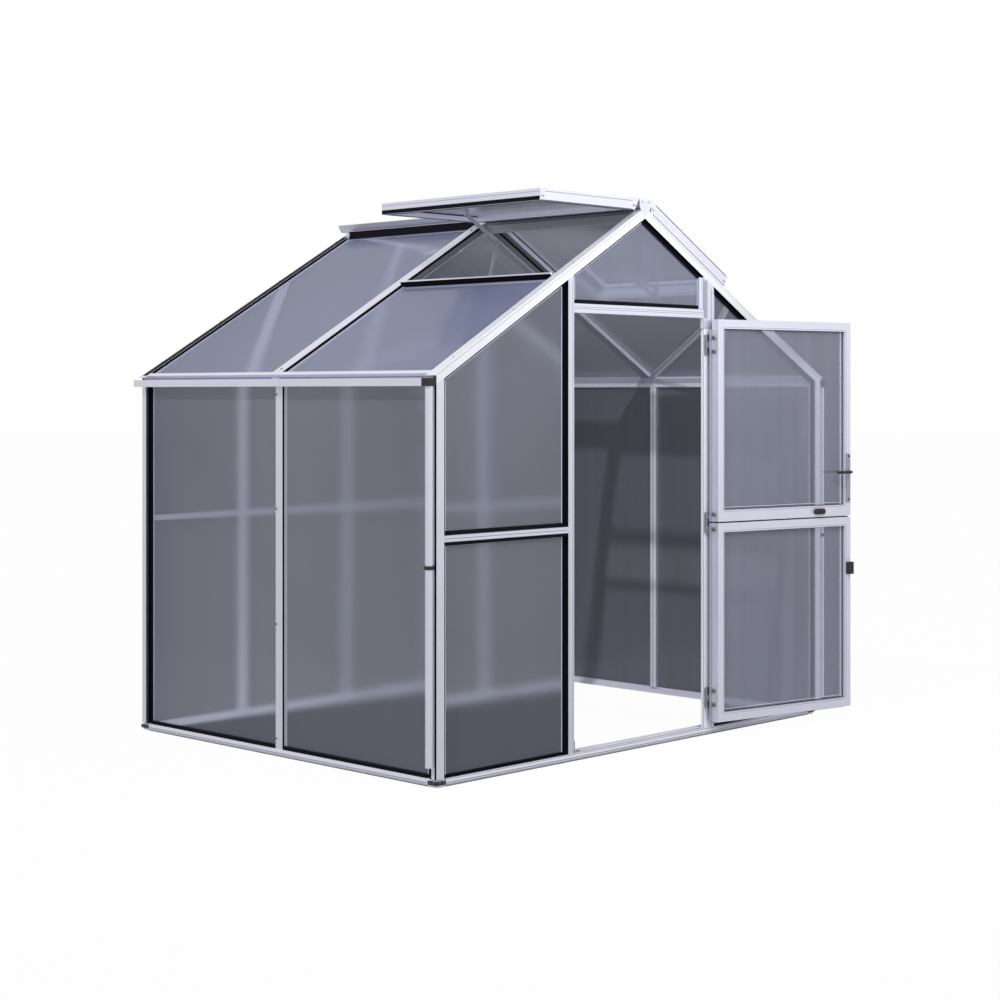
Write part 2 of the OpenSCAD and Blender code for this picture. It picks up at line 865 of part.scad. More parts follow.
// Upright gasket on a side sheet, from its lip at y towards dir
module side_gasket(y, dir) {
    high = eave_lo - base_h - 2 * play;
    translate([-hw, y, base_h + play]) mirror([0, dir < 0 ? 1 : 0, 0]) translate([0, play, 0]) {
        translate([wall_set - play - gasket_t, 0, 0]) cube([gasket_t, gasket_w, high]);
        translate([1, 0, 0]) cube([wall_set - play - 1, lip_t, high]);
    }
}

// Lip alone, beside the middle post, which is set back
module side_lip(y, dir) {
    translate([-hw + bar_in + 1, y, base_h + play]) mirror([0, dir < 0 ? 1 : 0, 0])
        translate([0, play, 0])
            cube([wall_set - play - bar_in - 1, lip_t, eave_lo - base_h - 2 * play]);
}

module side_gaskets() {
    side_gasket(side_bays[0][0], 1);
    side_lip(side_bays[0][1], -1);
    side_lip(side_bays[1][0], 1);
    side_gasket(side_bays[1][1], -1);
}

module side_panel_gaskets() {
    for (bay = side_panels) {
        low_gasket(bay[0], bay[1]);
        top_gasket(bay[0], bay[1], rail_z + rail_h);
    }
}

module wall_gaskets() {
    color(black) {
        both_sides() side_gaskets();
        side_panel_gaskets();
        top_gasket(door_x0, door_x1, transom_z + transom_h);
        at_rear() {
            side_panel_gaskets();
            low_gasket(door_x0, door_x1);
            top_gasket(door_x0, door_x1, rail_z + rail_h);
        }
    }
}

// Gasket round a roof sheet; top is the width of its edge towards the ridge
module roof_ring(xa, xb, bay, top) {
    translate([0, bay[0], -roof_set + play]) difference() {
        translate([xa, play, 0]) cube([xb - xa, bay[1] - bay[0] - 2 * play, gasket_t]);
        translate([xa + top, gasket_low, -1])
            cube([xb - xa - top - gasket_low, bay[1] - bay[0] - 2 * gasket_low, gasket_t + 2]);
    }
}

// Rubber seal between the ridge cap and the rear roof sheets
module ridge_seal() {
    bay = roof_bays[1];
    a = ridge_w / 2 + play;
    b = ridge_w / 2 + gasket_low;
    depth = roof_set - play;
    translate([0, bay[0] + play, 0]) along_y(bay[1] - bay[0] - 2 * play)
        polygon([[a, apex - play], [b, apex - play], [b, roof_z(b, depth)], [a, roof_z(a, depth)]]);
}

module roof_gaskets() {
    low_x = strip_x - play;
    ridge_x = slope_at(ridge_w / 2 + gasket_low, roof_set) + 2 * play;
    color(black) {
        for (s = [-1, 1]) slope(s) {
            roof_ring(sill_x + sill_w + play, low_x, roof_bays[0], 4);
            roof_ring(ridge_x, low_x, roof_bays[1], gasket_low);
        }
        both_sides() ridge_seal();
    }
}

// ---------- door ----------
// Leaves are drawn shut, with their hinge edge at leaf_x1, and swung open about the pins
leaf_x0 = door_x0 + latch_gap;
leaf_x1 = door_x1 - leaf_gap;
leaf_w = leaf_x1 - leaf_x0;
axis_x = door_x1 + pin_in;
axis_y = front - pin_out;
leaf_hi = transom_z - leaf_top_gap;
low_top = leaf_split - leaf_split_gap / 2;
up_bottom = leaf_split + leaf_split_gap / 2;
hinge_z = [leaf_lo + 60, leaf_split - hinge_h / 2, leaf_hi - 66 - hinge_h];
third = hinge_h / 3;
turn_gap = 0.5;

module swung() {
    translate([axis_x, axis_y, 0]) rotate([0, 0, open_angle])
        translate([-axis_x, -axis_y, 0]) children();
}

module leaf_frame(za, zb, low_rail, high_rail) {
    h = zb - za;
    mid = leaf_t / 2 - sheet_t / 2;
    difference() {
        translate([leaf_x0, front, za]) cube([leaf_w, leaf_t, h]);
        translate([leaf_x0 + stile_w, front - 1, za + low_rail])
            cube([leaf_w - 2 * stile_w, leaf_t + 2, h - low_rail - high_rail]);
        translate([leaf_x0 + stile_w - slot_d, front + mid - play, za + low_rail - slot_d])
            cube([leaf_w - 2 * stile_w + 2 * slot_d, sheet_t + 2 * play,
                h - low_rail - high_rail + 2 * slot_d]);
    }
}

module leaf_sheet(za, zb, low_rail, high_rail) {
    edge = stile_w - insert;
    translate([leaf_x0 + edge, front + leaf_t / 2 - sheet_t / 2, za + low_rail - insert])
        cube([leaf_w - 2 * edge, sheet_t, zb - za - low_rail - high_rail + 2 * insert]);
}

module knuckle(z, h) {
    translate([axis_x, axis_y, z]) cylinder(r = knuckle_r, h = h);
}

// Post side of a hinge: plate, pin, and the knuckles of the given thirds
module post_hinge(z, thirds) {
    translate([axis_x, axis_y, z]) cylinder(r = pin_r, h = hinge_h);
    for (i = thirds) {
        knuckle(z + i * third + turn_gap, third - 2 * turn_gap);
        translate([axis_x, front - play - hinge_t, z + i * third + turn_gap])
            cube([knuckle_r + 4, hinge_t, third - 2 * turn_gap]);
    }
    translate([axis_x + knuckle_r + 1, front - play - hinge_t, z])
        cube([post_x1 - axis_x - knuckle_r - 3, hinge_t, hinge_h]);
}

module door_hinges() {
    color(alu) {
        post_hinge(hinge_z[0], [0, 2]);
        post_hinge(hinge_z[1], [1]);
        post_hinge(hinge_z[2], [0, 2]);
    }
}

// Leaf side of a hinge: a knuckle that turns on the pin, and a cranked plate on the leaf
module leaf_hinge(z) {
    h = third - 2 * turn_gap;
    back = front - hinge_off;
    difference() {
        union() {
            knuckle(z + turn_gap, h);
            translate([leaf_x1 - hinge_w, back - hinge_t, z + turn_gap])
                cube([axis_x - leaf_x1 + hinge_w, hinge_t, h]);
            translate([leaf_x1 - hinge_w, back - hinge_t, z + turn_gap])
                cube([hinge_w, hinge_t + hinge_off - play, h]);
        }
        translate([axis_x, axis_y, z]) cylinder(r = pin_r + pin_gap, h = third);
    }
}

module door_lower_hinges() {
    color(alu) swung() {
        leaf_hinge(hinge_z[0] + third);
        leaf_hinge(hinge_z[1]);
    }
}

module door_upper_hinges() {
    color(alu) swung() {
        leaf_hinge(hinge_z[1] + 2 * third);
        leaf_hinge(hinge_z[2] + third);
    }
}

module door_lower_frame() {
    color(alu) swung() leaf_frame(leaf_lo, low_top, leaf_rail, leaf_rail);
}

module door_lower_sheet() {
    color(tint) swung() leaf_sheet(leaf_lo, low_top, leaf_rail, leaf_rail);
}

module door_upper_frame() {
    color(alu) swung() leaf_frame(up_bottom, leaf_hi, meeting_rail, leaf_rail);
}

module door_upper_sheet() {
    color(tint) swung() leaf_sheet(up_bottom, leaf_hi, meeting_rail, leaf_rail);
}

// Handle furniture on one face: plate, neck and lever; Y runs out of the face
module lever_set() {
    lever_z = grip_plate_h * 0.62;
    translate([-grip_plate_w / 2, 0, 0]) cube([grip_plate_w, grip_plate_t, grip_plate_h]);
    translate([0, grip_plate_t - 1, lever_z]) rotate([-90, 0, 0])
        cylinder(d = lever_d - 3, h = lever_out - lever_d / 2 + 1);
    translate([-lever_d / 2, grip_plate_t + lever_out - lever_d / 2, lever_z])
        rotate([0, 90, 0]) cylinder(d = lever_d, h = lever_l + lever_d / 2);
}

module door_handle() {
    x = leaf_x0 + stile_w / 2;
    color(black) swung() {
        translate([x, front + leaf_t + play, grip_plate_z]) lever_set();
        translate([x, front - play, grip_plate_z]) mirror([0, 1, 0]) lever_set();
    }
}

// Turn button that locks the two leaves together
module door_knob() {
    knob_l = 34;
    color(black) swung()
        translate([leaf_x0 + 200, front + leaf_t + play, up_bottom + meeting_rail / 2])
            rotate([-90, 0, 0]) linear_extrude(14) hull() for (s = [-1, 1])
                translate([s * knob_l / 2, 0]) circle(d = 26);
}

// Catch block on the lower leaf's free stile
module door_latch() {
    color(black) swung() translate([leaf_x0 - 5, front + leaf_t + play, latch_z])
        cube([32, 16, 55]);
}

base_front();
base_rear();
base_left();
base_right();
base_corners();
corner_posts();
side_posts();
door_posts();
rear_posts();
front_rails();
rear_rails();
eave_rails();
eave_strips();
gable_rafters();
mid_rafters();
ridge();
roof_brace();
vent_sills();
vent_left_frame();
vent_right_frame();
vent_sheets();
vent_openers();
gutters();
gutter_outlets();
pipe_clips();
downpipes();
left_wall_sheets();
right_wall_sheets();
front_wall_sheets();
front_gable_sheet();
rear_wall_sheets();
roof_left_sheets();
roof_right_sheets();
wall_gaskets();
roof_gaskets();
door_hinges();
door_lower_frame();
door_lower_sheet();
door_lower_hinges();
door_upper_frame();
door_upper_sheet();
door_upper_hinges();
door_handle();
door_knob();
door_latch();
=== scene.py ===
import json
import math

import bmesh
import bpy
from mathutils import Matrix, Vector

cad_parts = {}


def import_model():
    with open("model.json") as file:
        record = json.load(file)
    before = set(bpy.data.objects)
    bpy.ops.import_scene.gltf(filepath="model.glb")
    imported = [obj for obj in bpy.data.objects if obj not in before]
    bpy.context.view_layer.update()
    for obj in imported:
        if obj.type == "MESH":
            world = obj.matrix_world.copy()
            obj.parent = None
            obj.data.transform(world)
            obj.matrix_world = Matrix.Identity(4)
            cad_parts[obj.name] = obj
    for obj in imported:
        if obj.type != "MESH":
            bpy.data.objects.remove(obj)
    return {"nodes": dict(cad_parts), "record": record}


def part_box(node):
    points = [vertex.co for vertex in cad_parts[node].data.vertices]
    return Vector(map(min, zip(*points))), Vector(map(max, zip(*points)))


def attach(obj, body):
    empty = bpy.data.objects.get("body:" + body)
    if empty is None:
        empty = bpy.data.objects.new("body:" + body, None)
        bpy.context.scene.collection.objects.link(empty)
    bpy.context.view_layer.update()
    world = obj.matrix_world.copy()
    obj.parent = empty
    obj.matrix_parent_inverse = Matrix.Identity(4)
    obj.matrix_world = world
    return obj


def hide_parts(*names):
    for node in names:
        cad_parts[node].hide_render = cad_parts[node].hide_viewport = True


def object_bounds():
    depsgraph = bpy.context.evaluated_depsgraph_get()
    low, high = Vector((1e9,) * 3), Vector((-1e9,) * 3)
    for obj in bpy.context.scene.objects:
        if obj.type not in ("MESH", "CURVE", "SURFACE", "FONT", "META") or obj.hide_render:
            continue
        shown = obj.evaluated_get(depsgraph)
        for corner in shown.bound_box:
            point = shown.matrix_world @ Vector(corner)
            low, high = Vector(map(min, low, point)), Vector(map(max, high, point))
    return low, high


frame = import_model()
cad_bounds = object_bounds()
MM = 0.001

# ---------- places read from the frame ----------
PITCH = math.radians(30)
COS = math.cos(PITCH)
SIN = math.sin(PITCH)
TAN = math.tan(PITCH)
# Width of the bars, how far they cover the sheets' edges, and the sheets' thickness
BAR = 40 * MM
SHEET_EDGE = 6 * MM
SHEET_T = 6 * MM
base_low, base_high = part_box("base_front")
posts_low, posts_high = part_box("door_posts")
gable_low, gable_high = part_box("front_gable_sheet")
mid_low, mid_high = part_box("mid_rafters")
side_posts_low, side_posts_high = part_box("side_posts")
HALF_W = base_high[0]
SIDE_IN = HALF_W - BAR
FRONT = base_low[1]
FRONT_IN = FRONT + BAR
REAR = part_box("base_left")[1][1]
REAR_IN = REAR - BAR
BASE_H = base_high[2]
BASE_IN = base_high[1]
# Front and rear faces of the middle roof bars and of the side walls' middle posts
BAR_FRONT = mid_low[1]
BAR_REAR = mid_high[1]
MID_FRONT = side_posts_low[1]
MID_REAR = side_posts_high[1]
# Underside of the eave rails, and where the roof's outer faces meet the walls and each other
EAVE_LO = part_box("eave_rails")[0][2]
EAVE = 1560 * MM
APEX = EAVE + HALF_W * TAN
# Faces of the door posts away from the doorway, then those beside it
POST_X0 = posts_low[0]
POST_X1 = posts_high[0]
DOOR_X0 = gable_low[0] + SHEET_EDGE
DOOR_X1 = gable_high[0] - SHEET_EDGE
WALL_BAYS = ((-SIDE_IN, POST_X0), (POST_X1, SIDE_IN))
TRANSOM_TOP = gable_low[2] + SHEET_EDGE
TRANSOM_H = 37 * MM
TRANSOM_LOW = TRANSOM_TOP - TRANSOM_H
RAIL_Z = 920 * MM
RAIL_H = 24 * MM
RAIL_TOP = RAIL_Z + RAIL_H
# How far the sheets stand back from the outer faces of walls and roof bars
WALL_SET = 20 * MM
ROOF_SET = 12 * MM
# Widths of the gaskets along upright and along level edges
GASKET_UP = 20 * MM
GASKET_LOW = 12 * MM
# Slope coordinates of the eave strips and the vent sills
STRIP_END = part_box("eave_strips")[1][0] / COS
STRIP_START = STRIP_END - 24 * MM
SILL_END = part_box("vent_sills")[1][0] / COS
SILL_W = 26 * MM


# ---------- node helpers ----------
class Nodes:
    """A material's node tree, with short ways to add and link nodes."""

    def __init__(self, name):
        self.material = bpy.data.materials.new(name)
        self.material.use_nodes = True
        self.tree = self.material.node_tree
        self.tree.nodes.clear()

    def add(self, kind, inputs=None, **settings):
        node = self.tree.nodes.new(kind)
        for key, value in settings.items():
            setattr(node, key, value)
        for key, value in (inputs or {}).items():
            self.feed(node, key, value)
        return node

    def feed(self, node, key, value):
        if isinstance(value, bpy.types.NodeSocket):
            self.tree.links.new(value, node.inputs[key])
        else:
            node.inputs[key].default_value = value

    def math(self, operation, a, b=0.0, c=0.0):
        return self.add("ShaderNodeMath", {0: a, 1: b, 2: c}, operation=operation).outputs[0]

    def vector(self, operation, a, b=(0, 0, 0), out=0):
        node = self.add("ShaderNodeVectorMath", {0: a, 1: b}, operation=operation)
        return node.outputs[out]

    def scaled(self, vector, factor):
        node = self.add("ShaderNodeVectorMath", {0: vector}, operation="SCALE")
        self.feed(node, "Scale", factor)
        return node.outputs[0]

    def noise(self, vector, scale, detail):
        inputs = {"Vector": vector, "Scale": scale, "Detail": detail}
        return self.add("ShaderNodeTexNoise", inputs).outputs[0]

    def noise_along(self, distance, scale, detail):
        inputs = {"W": distance, "Scale": scale, "Detail": detail}
        return self.add("ShaderNodeTexNoise", inputs, noise_dimensions="1D").outputs[0]

    def mix_colour(self, factor, a, b):
        node = self.add("ShaderNodeMix", data_type="RGBA")
        self.feed(node, 0, factor)
        self.feed(node, 6, a)
        self.feed(node, 7, b)
        return node.outputs[2]

    def emission(self, colour, strength):
        return self.add("ShaderNodeEmission", {"Color": colour, "Strength": strength}).outputs[0]

    def mix_shader(self, factor, a, b):
        return self.add("ShaderNodeMixShader", {0: factor, 1: a, 2: b}).outputs[0]

    def finish(self, surface):
        out = self.add("ShaderNodeOutputMaterial")
        self.tree.links.new(surface, out.inputs["Surface"])
        return self.material


def darker(colour, share):
    return tuple(c * share for c in colour[:3]) + (1,)


# ---------- materials ----------
def aluminium(name, colour, roughness=0.32, behind=0.28, metal=0.45):
    """Bright extruded aluminium with fine grain and slight cloudiness. Where it is seen through a
    sheet it gets a little painted glow, which stands in for the light that the sheets let in from all
    sides."""
    n = Nodes(name)
    coords = n.add("ShaderNodeTexCoord").outputs["Object"]
    cloud = n.noise(coords, 9.0, 4.0)
    fine = n.noise(coords, 900.0, 2.0)
    base = n.mix_colour(cloud, darker(colour, 0.93), colour)
    rough = n.math("MULTIPLY_ADD", fine, 0.12, roughness - 0.06)
    bump = n.add("ShaderNodeBump", {"Height": fine, "Strength": 0.15, "Distance": 0.0002})
    shader = n.add("ShaderNodeBsdfPrincipled", {
        "Base Color": base, "Roughness": rough, "Normal": bump.outputs[0], "Metallic": metal})
    # Painted glow: light added to the metal where it is seen through a sheet
    painted_glow = n.emission(colour, behind)
    both = n.add("ShaderNodeAddShader", {0: shader.outputs[0], 1: painted_glow}).outputs[0]
    through = n.add("ShaderNodeLightPath").outputs["Is Transmission Ray"]
    return n.finish(n.mix_shader(through, shader.outputs[0], both))


def black(name, colour, roughness, grain, gloss=0.3):
    """Moulded plastic or glazing rubber with a fine grain."""
    n = Nodes(name)
    coords = n.add("ShaderNodeTexCoord").outputs["Object"]
    noise = n.noise(coords, grain, 3.0)
    base = n.mix_colour(noise, darker(colour, 0.7), colour)
    bump = n.add("ShaderNodeBump", {"Height": noise, "Strength": 0.3, "Distance": 0.0003})
    shader = n.add("ShaderNodeBsdfPrincipled", {
        "Base Color": base, "Roughness": roughness, "Normal": bump.outputs[0],
        "Specular IOR Level": gloss})
    return n.finish(shader.outputs[0])


# Distance between the flutes, and how far they tilt the normal
FLUTE = 6 * MM
FLUTE_TILT = 0.035
# Painted light on inner faces seen through another sheet: the gain on their tint, and the lightest that it
# makes them
PAINTED_INNER_GAIN = 3.2
PAINTED_INNER_CAP = 0.50
HOUSE_CENTRE = tuple((Vector(cad_bounds[0]) + Vector(cad_bounds[1])) / 2)


def flutes(n, normal, place):
    """The distance across the flutes, their wave there, and the normal that they bend."""
    across = n.vector("NORMALIZE", n.vector("CROSS_PRODUCT", (0, 0, 1), normal))
    along = n.vector("DOT_PRODUCT", place, across, out=1)
    wave = n.math("SINE", n.math("MULTIPLY", along, 2 * math.pi / FLUTE))
    grain = n.noise_along(along, 240.0, 2.0)
    jitter = n.math("MULTIPLY", n.math("SUBTRACT", grain, 0.5), 2.0)
    tilt = n.math("MULTIPLY", n.math("ADD", wave, jitter), FLUTE_TILT)
    bent = n.vector("NORMALIZE", n.vector("ADD", normal, n.scaled(across, tilt)))
    bent = n.add("ShaderNodeVectorTransform", {0: bent}, vector_type="NORMAL",
                 convert_from="OBJECT", convert_to="WORLD").outputs[0]
    return along, wave, bent


def clouded(n, tint, place, along, wave):
    """The tint with a stripe at each flute, and with wider streaks and clouds."""
    stripe = n.math("MULTIPLY_ADD", wave, 0.2, 0.5)
    cloud = n.noise(place, 1.1, 1.0)
    dark = n.mix_colour(0.22, tint, (0, 0, 0, 1))
    streaks = n.noise_along(along, 14.0, 5.0)
    shading = n.math("ADD", n.math("MULTIPLY", stripe, cloud),
                     n.math("MULTIPLY", n.math("SUBTRACT", streaks, 0.5), 0.7))
    return n.mix_colour(shading, dark, tint)


def twin_wall(name, outer_tint, inner_tint, outer_clear, inner_clear, ior=1.21, haze=0.22):
    """Tinted fluted sheet. Light that comes in from outside the house sees more of what
    stands behind than light from inside does, and the flutes smear it sideways."""
    n = Nodes(name)
    coords = n.add("ShaderNodeTexCoord")
    normal = coords.outputs["Normal"]
    place = coords.outputs["Object"]
    outward = n.vector("SUBTRACT", place, HOUSE_CENTRE)
    outside = n.math("GREATER_THAN", n.vector("DOT_PRODUCT", normal, outward, out=1), 0.0)
    along, wave, bent = flutes(n, normal, place)
    path = n.add("ShaderNodeLightPath")
    # Painted light: a lighter copy of the inner tint where a face is seen through another sheet
    painted_inner_tint = tuple(min(c * PAINTED_INNER_GAIN, PAINTED_INNER_CAP) for c in inner_tint[:3]) + (1,)
    inside = n.mix_colour(path.outputs["Is Transmission Ray"], inner_tint, painted_inner_tint)
    tint = n.mix_colour(outside, inside, outer_tint)
    base = clouded(n, tint, place, along, wave)
    skin = n.add("ShaderNodeBsdfPrincipled", {
        "Base Color": base, "Roughness": 0.16, "IOR": 1.45}).outputs[0]
    through = n.add("ShaderNodeBsdfRefraction", {
        "Color": (0.93, 0.94, 1.0, 1), "Roughness": haze, "IOR": ior, "Normal": bent}).outputs[0]
    clear = n.math("MULTIPLY_ADD", outside, outer_clear - inner_clear, inner_clear)
    entering = n.mix_shader(clear, skin, through)
    leaving = n.add("ShaderNodeBsdfTransparent").outputs[0]
    body = n.mix_shader(n.add("ShaderNodeNewGeometry").outputs["Backfacing"], entering, leaving)
    shade = n.add("ShaderNodeBsdfTransparent", {"Color": (0.84, 0.85, 0.9, 1)}).outputs[0]
    return n.finish(n.mix_shader(path.outputs["Is Shadow Ray"], body, shade))


ALU = aluminium("alu_frame", (0.80, 0.805, 0.93, 1))
HINGE = aluminium("alu_hinge", (0.66, 0.67, 0.76, 1), 0.28)
STEEL = aluminium("screw_steel", (0.20, 0.20, 0.24, 1), 0.35)
SHADED = aluminium("alu_shaded", (0.24, 0.24, 0.29, 1), 0.5)
# Painted shade: a dim copy of the aluminium for faces that stand in shade
DIM_SHADE = aluminium("alu_dim_shade", (0.45, 0.45, 0.53, 1), 0.5)
DARK_METAL = aluminium("dark_metal", (0.40, 0.40, 0.46, 1), 0.4)
HINGE_DARK = aluminium("hinge_dark", (0.27, 0.27, 0.31, 1), 0.4)
# Painted shade: a darker copy of the aluminium for the door posts
POST = aluminium("alu_posts_shaded", (0.74, 0.745, 0.86, 1))
# Painted light: a brighter, less metallic copy of the aluminium for the gable rafters, for the stronger
# light on the upper front
LIT_RAFTER = aluminium("alu_rafters_lit", (0.86, 0.875, 0.94, 1), 0.35, 0.28, 0.15)
# Painted light: a lighter, matt copy of the aluminium for highlights and lit faces
PAINTED_LIT = aluminium("alu_painted_lit", (0.90, 0.915, 1.0, 1), 0.3, 0.28, 0.0)
RUBBER = black("rubber", (0.005, 0.005, 0.010, 1), 0.7, 300.0, 0.1)
PLASTIC = black("plastic", (0.03, 0.03, 0.035, 1), 0.38, 600.0)
GROOVE = black("groove", (0.30, 0.30, 0.36, 1), 0.6, 300.0)
INNER = (0.195, 0.204, 0.232, 1)
LEAF_TINT = (0.34, 0.355, 0.45, 1)
WALL = twin_wall("wall_sheet", (0.255, 0.275, 0.35, 1), INNER, 0.45, 0.06)
FACE = twin_wall("front_sheet", (0.205, 0.22, 0.285, 1), INNER, 0.45, 0.06, 1.165, 0.26)
GABLE = twin_wall("gable_sheet", (0.232, 0.254, 0.348, 1), INNER, 0.25, 0.06, 1.165, 0.12)
ROOF = twin_wall("roof_sheet", (0.28, 0.32, 0.56, 1), (0.55, 0.57, 0.66, 1), 0.42, 0.08)
LEAF = twin_wall("leaf_sheet", LEAF_TINT, LEAF_TINT, 0.45, 0.45, 1.16, 0.11)

SLOT_MATERIAL = {"alu": ALU, "hinge_metal": HINGE, "wall_sheet": WALL, "roof_sheet": ROOF,
                 "gasket": RUBBER, "black_plastic": PLASTIC}
NODE_MATERIAL = {"door_lower_sheet": LEAF, "door_upper_sheet": LEAF, "front_wall_sheets": FACE,
                 "rear_wall_sheets": FACE, "front_gable_sheet": GABLE,
                 # Painted light and shade: the door posts take the shaded copy, the gable rafters and the
                 # right and rear base rails lit copies
                 "vent_openers": DARK_METAL, "gable_rafters": LIT_RAFTER, "door_posts": POST,
                 "base_right": PAINTED_LIT, "base_rear": PAINTED_LIT,
                 "door_hinges": HINGE_DARK, "door_lower_hinges": HINGE_DARK,
                 "door_upper_hinges": HINGE_DARK}

for entry in frame["record"]["subparts"]:
    material = NODE_MATERIAL.get(entry["node"], SLOT_MATERIAL[entry["material_slot"]])
    for material_slot in frame["nodes"][entry["node"]].material_slots:
        material_slot.material = material


# ---------- mesh helpers ----------
def place_at(origin, x_dir, z_dir):
    """Matrix whose X and Z axes point along x_dir and z_dir, with its origin there."""
    z = Vector(z_dir).normalized()
    x = Vector(x_dir).normalized()
    y = z.cross(x)
    turn = Matrix((x, y, z)).transposed().to_4x4()
    return Matrix.Translation(Vector(origin)) @ turn


WORLD = Matrix.Identity(4)
# Diameters of screw heads
SMALL_HEAD = 6 * MM
HEAD = 9 * MM


class Piece:
    """One detail mesh that rides on a body."""

    def __init__(self, name, body, material, slot):
        self.bm = bmesh.new()
        self.name = name
        self.body = body
        self.material = material
        self.slot = slot

    def strip(self, corner, other, place=WORLD, bevel=0.25):
        """Bar between two opposite corners, its edges broken by a share of its least size."""
        size = Vector(abs(b - a) for a, b in zip(corner, other))
        middle = (Vector(corner) + Vector(other)) / 2
        verts = bmesh.ops.create_cube(self.bm, size=1)["verts"]
        for v in verts:
            v.co = v.co * size + middle
        edges = list(dict.fromkeys(e for v in verts for e in v.link_edges))
        cut = bmesh.ops.bevel(self.bm, geom=edges, offset=min(size) * bevel, segments=1, affect="EDGES")
        moved = {v for f in cut["faces"] for v in f.verts}
        bmesh.ops.transform(self.bm, matrix=place, verts=list(moved))

    def skin(self, rings):
        """Faces between rings of points, with a cap at each end."""
        rings = [[self.bm.verts.new(point) for point in ring] for ring in rings]
        for low, high in zip(rings, rings[1:]):
            for i in range(len(low)):
                j = (i + 1) % len(low)
                self.bm.faces.new((low[i], low[j], high[j], high[i]))
        self.bm.faces.new(list(reversed(rings[0])))
        self.bm.faces.new(rings[-1])

    def turned(self, profile, place, segments=16):
        """Solid of revolution about the place's Z, from (radius, height) points."""
        angles = [2 * math.pi * i / segments for i in range(segments)]
        self.skin([[place @ Vector((radius * math.cos(a), radius * math.sin(a), height))
                    for a in angles] for radius, height in profile])

    def screw(self, at, normal, d=HEAD, place=WORLD):
        """Round head with a socket, standing on a face."""
        spot = place @ Vector(at)
        up = place.to_3x3() @ Vector(normal)
        side = up.orthogonal()
        r = d / 2
        h = d * 0.36
        self.turned([(r, 0), (r, h * 0.5), (r * 0.72, h), (r * 0.4, h), (r * 0.36, h * 0.4),
                     (r * 0.08, h * 0.35)], place_at(spot, side, up))

    def outline(self, points, y0, y1):
        """Plate drawn as (x, z) points, from y0 to y1."""
        self.skin([[(x, y, z) for x, z in points] for y in (y0, y1)])

    def tube(self, points, radii, place, segments=18):
        """Round bar through points, with a radius at each of them."""
        points = [Vector(p) for p in points]
        angles = [2 * math.pi * k / segments for k in range(segments)]
        rings = []
        for i, p in enumerate(points):
            ahead = points[min(i + 1, len(points) - 1)] - points[max(i - 1, 0)]
            ahead.normalize()
            out = ahead.cross(Vector((0, 0, 1))).normalized()
            up = out.cross(ahead)
            rings.append([place @ (p + (out * math.cos(a) + up * math.sin(a)) * radii[i]) for a in angles])
        self.skin(rings)

    def done(self, replaced=()):
        """Makes the object, which rides on the body and may stand in for CAD nodes."""
        bmesh.ops.recalc_face_normals(self.bm, faces=self.bm.faces)
        mesh = bpy.data.meshes.new(self.name)
        self.bm.to_mesh(mesh)
        self.bm.free()
        mesh.materials.append(self.material)
        obj = bpy.data.objects.new(self.name, mesh)
        bpy.context.collection.objects.link(obj)
        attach(obj, self.body)
        if replaced:
            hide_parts(*replaced)


def slope_place(s):
    """Slope coordinates: X runs down from the ridge line, Y along the house, Z out."""
    x_dir = Vector((s * COS, 0, -SIN))
    z_dir = Vector((s * SIN, 0, COS))
    return place_at((0, 0, APEX), x_dir, z_dir)


def slope_strip(piece, s, x0, x1, y0, y1, z0, z1):
    """Strip in slope coordinates; y0 and y1 are world Y."""
    piece.strip((x0, s * y0, z0), (x1, s * y1, z1), slope_place(s))


def slope_at(x, depth):
    """Distance down the slope of the point at x from the middle, at a depth under the roof."""
    return x / COS + depth * TAN


def roof_z(x, depth):
    """Height of the plane at a depth under the roof, at x from the middle."""
    return APEX - abs(x) * TAN - depth / COS


def sloping(piece, xa, xb, depth, y0, y1, width):
    """Strip under the gable bars from xa to xb, on one side of the middle."""
    s = 1 if xa + xb > 0 else -1
    near, far = [slope_at(x, depth) for x in sorted((abs(xa), abs(xb)))]
    slope_strip(piece, s, near, far, y0, y1, -depth - width, -depth)


# ---------- seals and beads ----------
# Thin layers stand PROUD of a face or are THIN on it, and their backs are SUNK in it
PROUD = 0.4 * MM
THIN = 0.3 * MM
SUNK = 0.1 * MM
# How far strips end short of the bars that they meet, of the ridge line and of the eaves
END = 1 * MM
BELOW_RIDGE = 60 * MM
ABOVE_EAVE = 60 * MM
# Width and depth of the beads, and how far upright ones and sloping ones' ends are off a bar
BEAD = 3.5 * MM
BEAD_DEEP = 4 * MM
FIRST_BEAD = GASKET_UP + 0.5 * MM
BEAD_INSET = 22 * MM
# Depth of the beads' backs behind the wall's face, and half the ridge beam's width
SHEET_OUT = WALL_SET - 0.3 * MM
RIDGE_HALF = 20 * MM


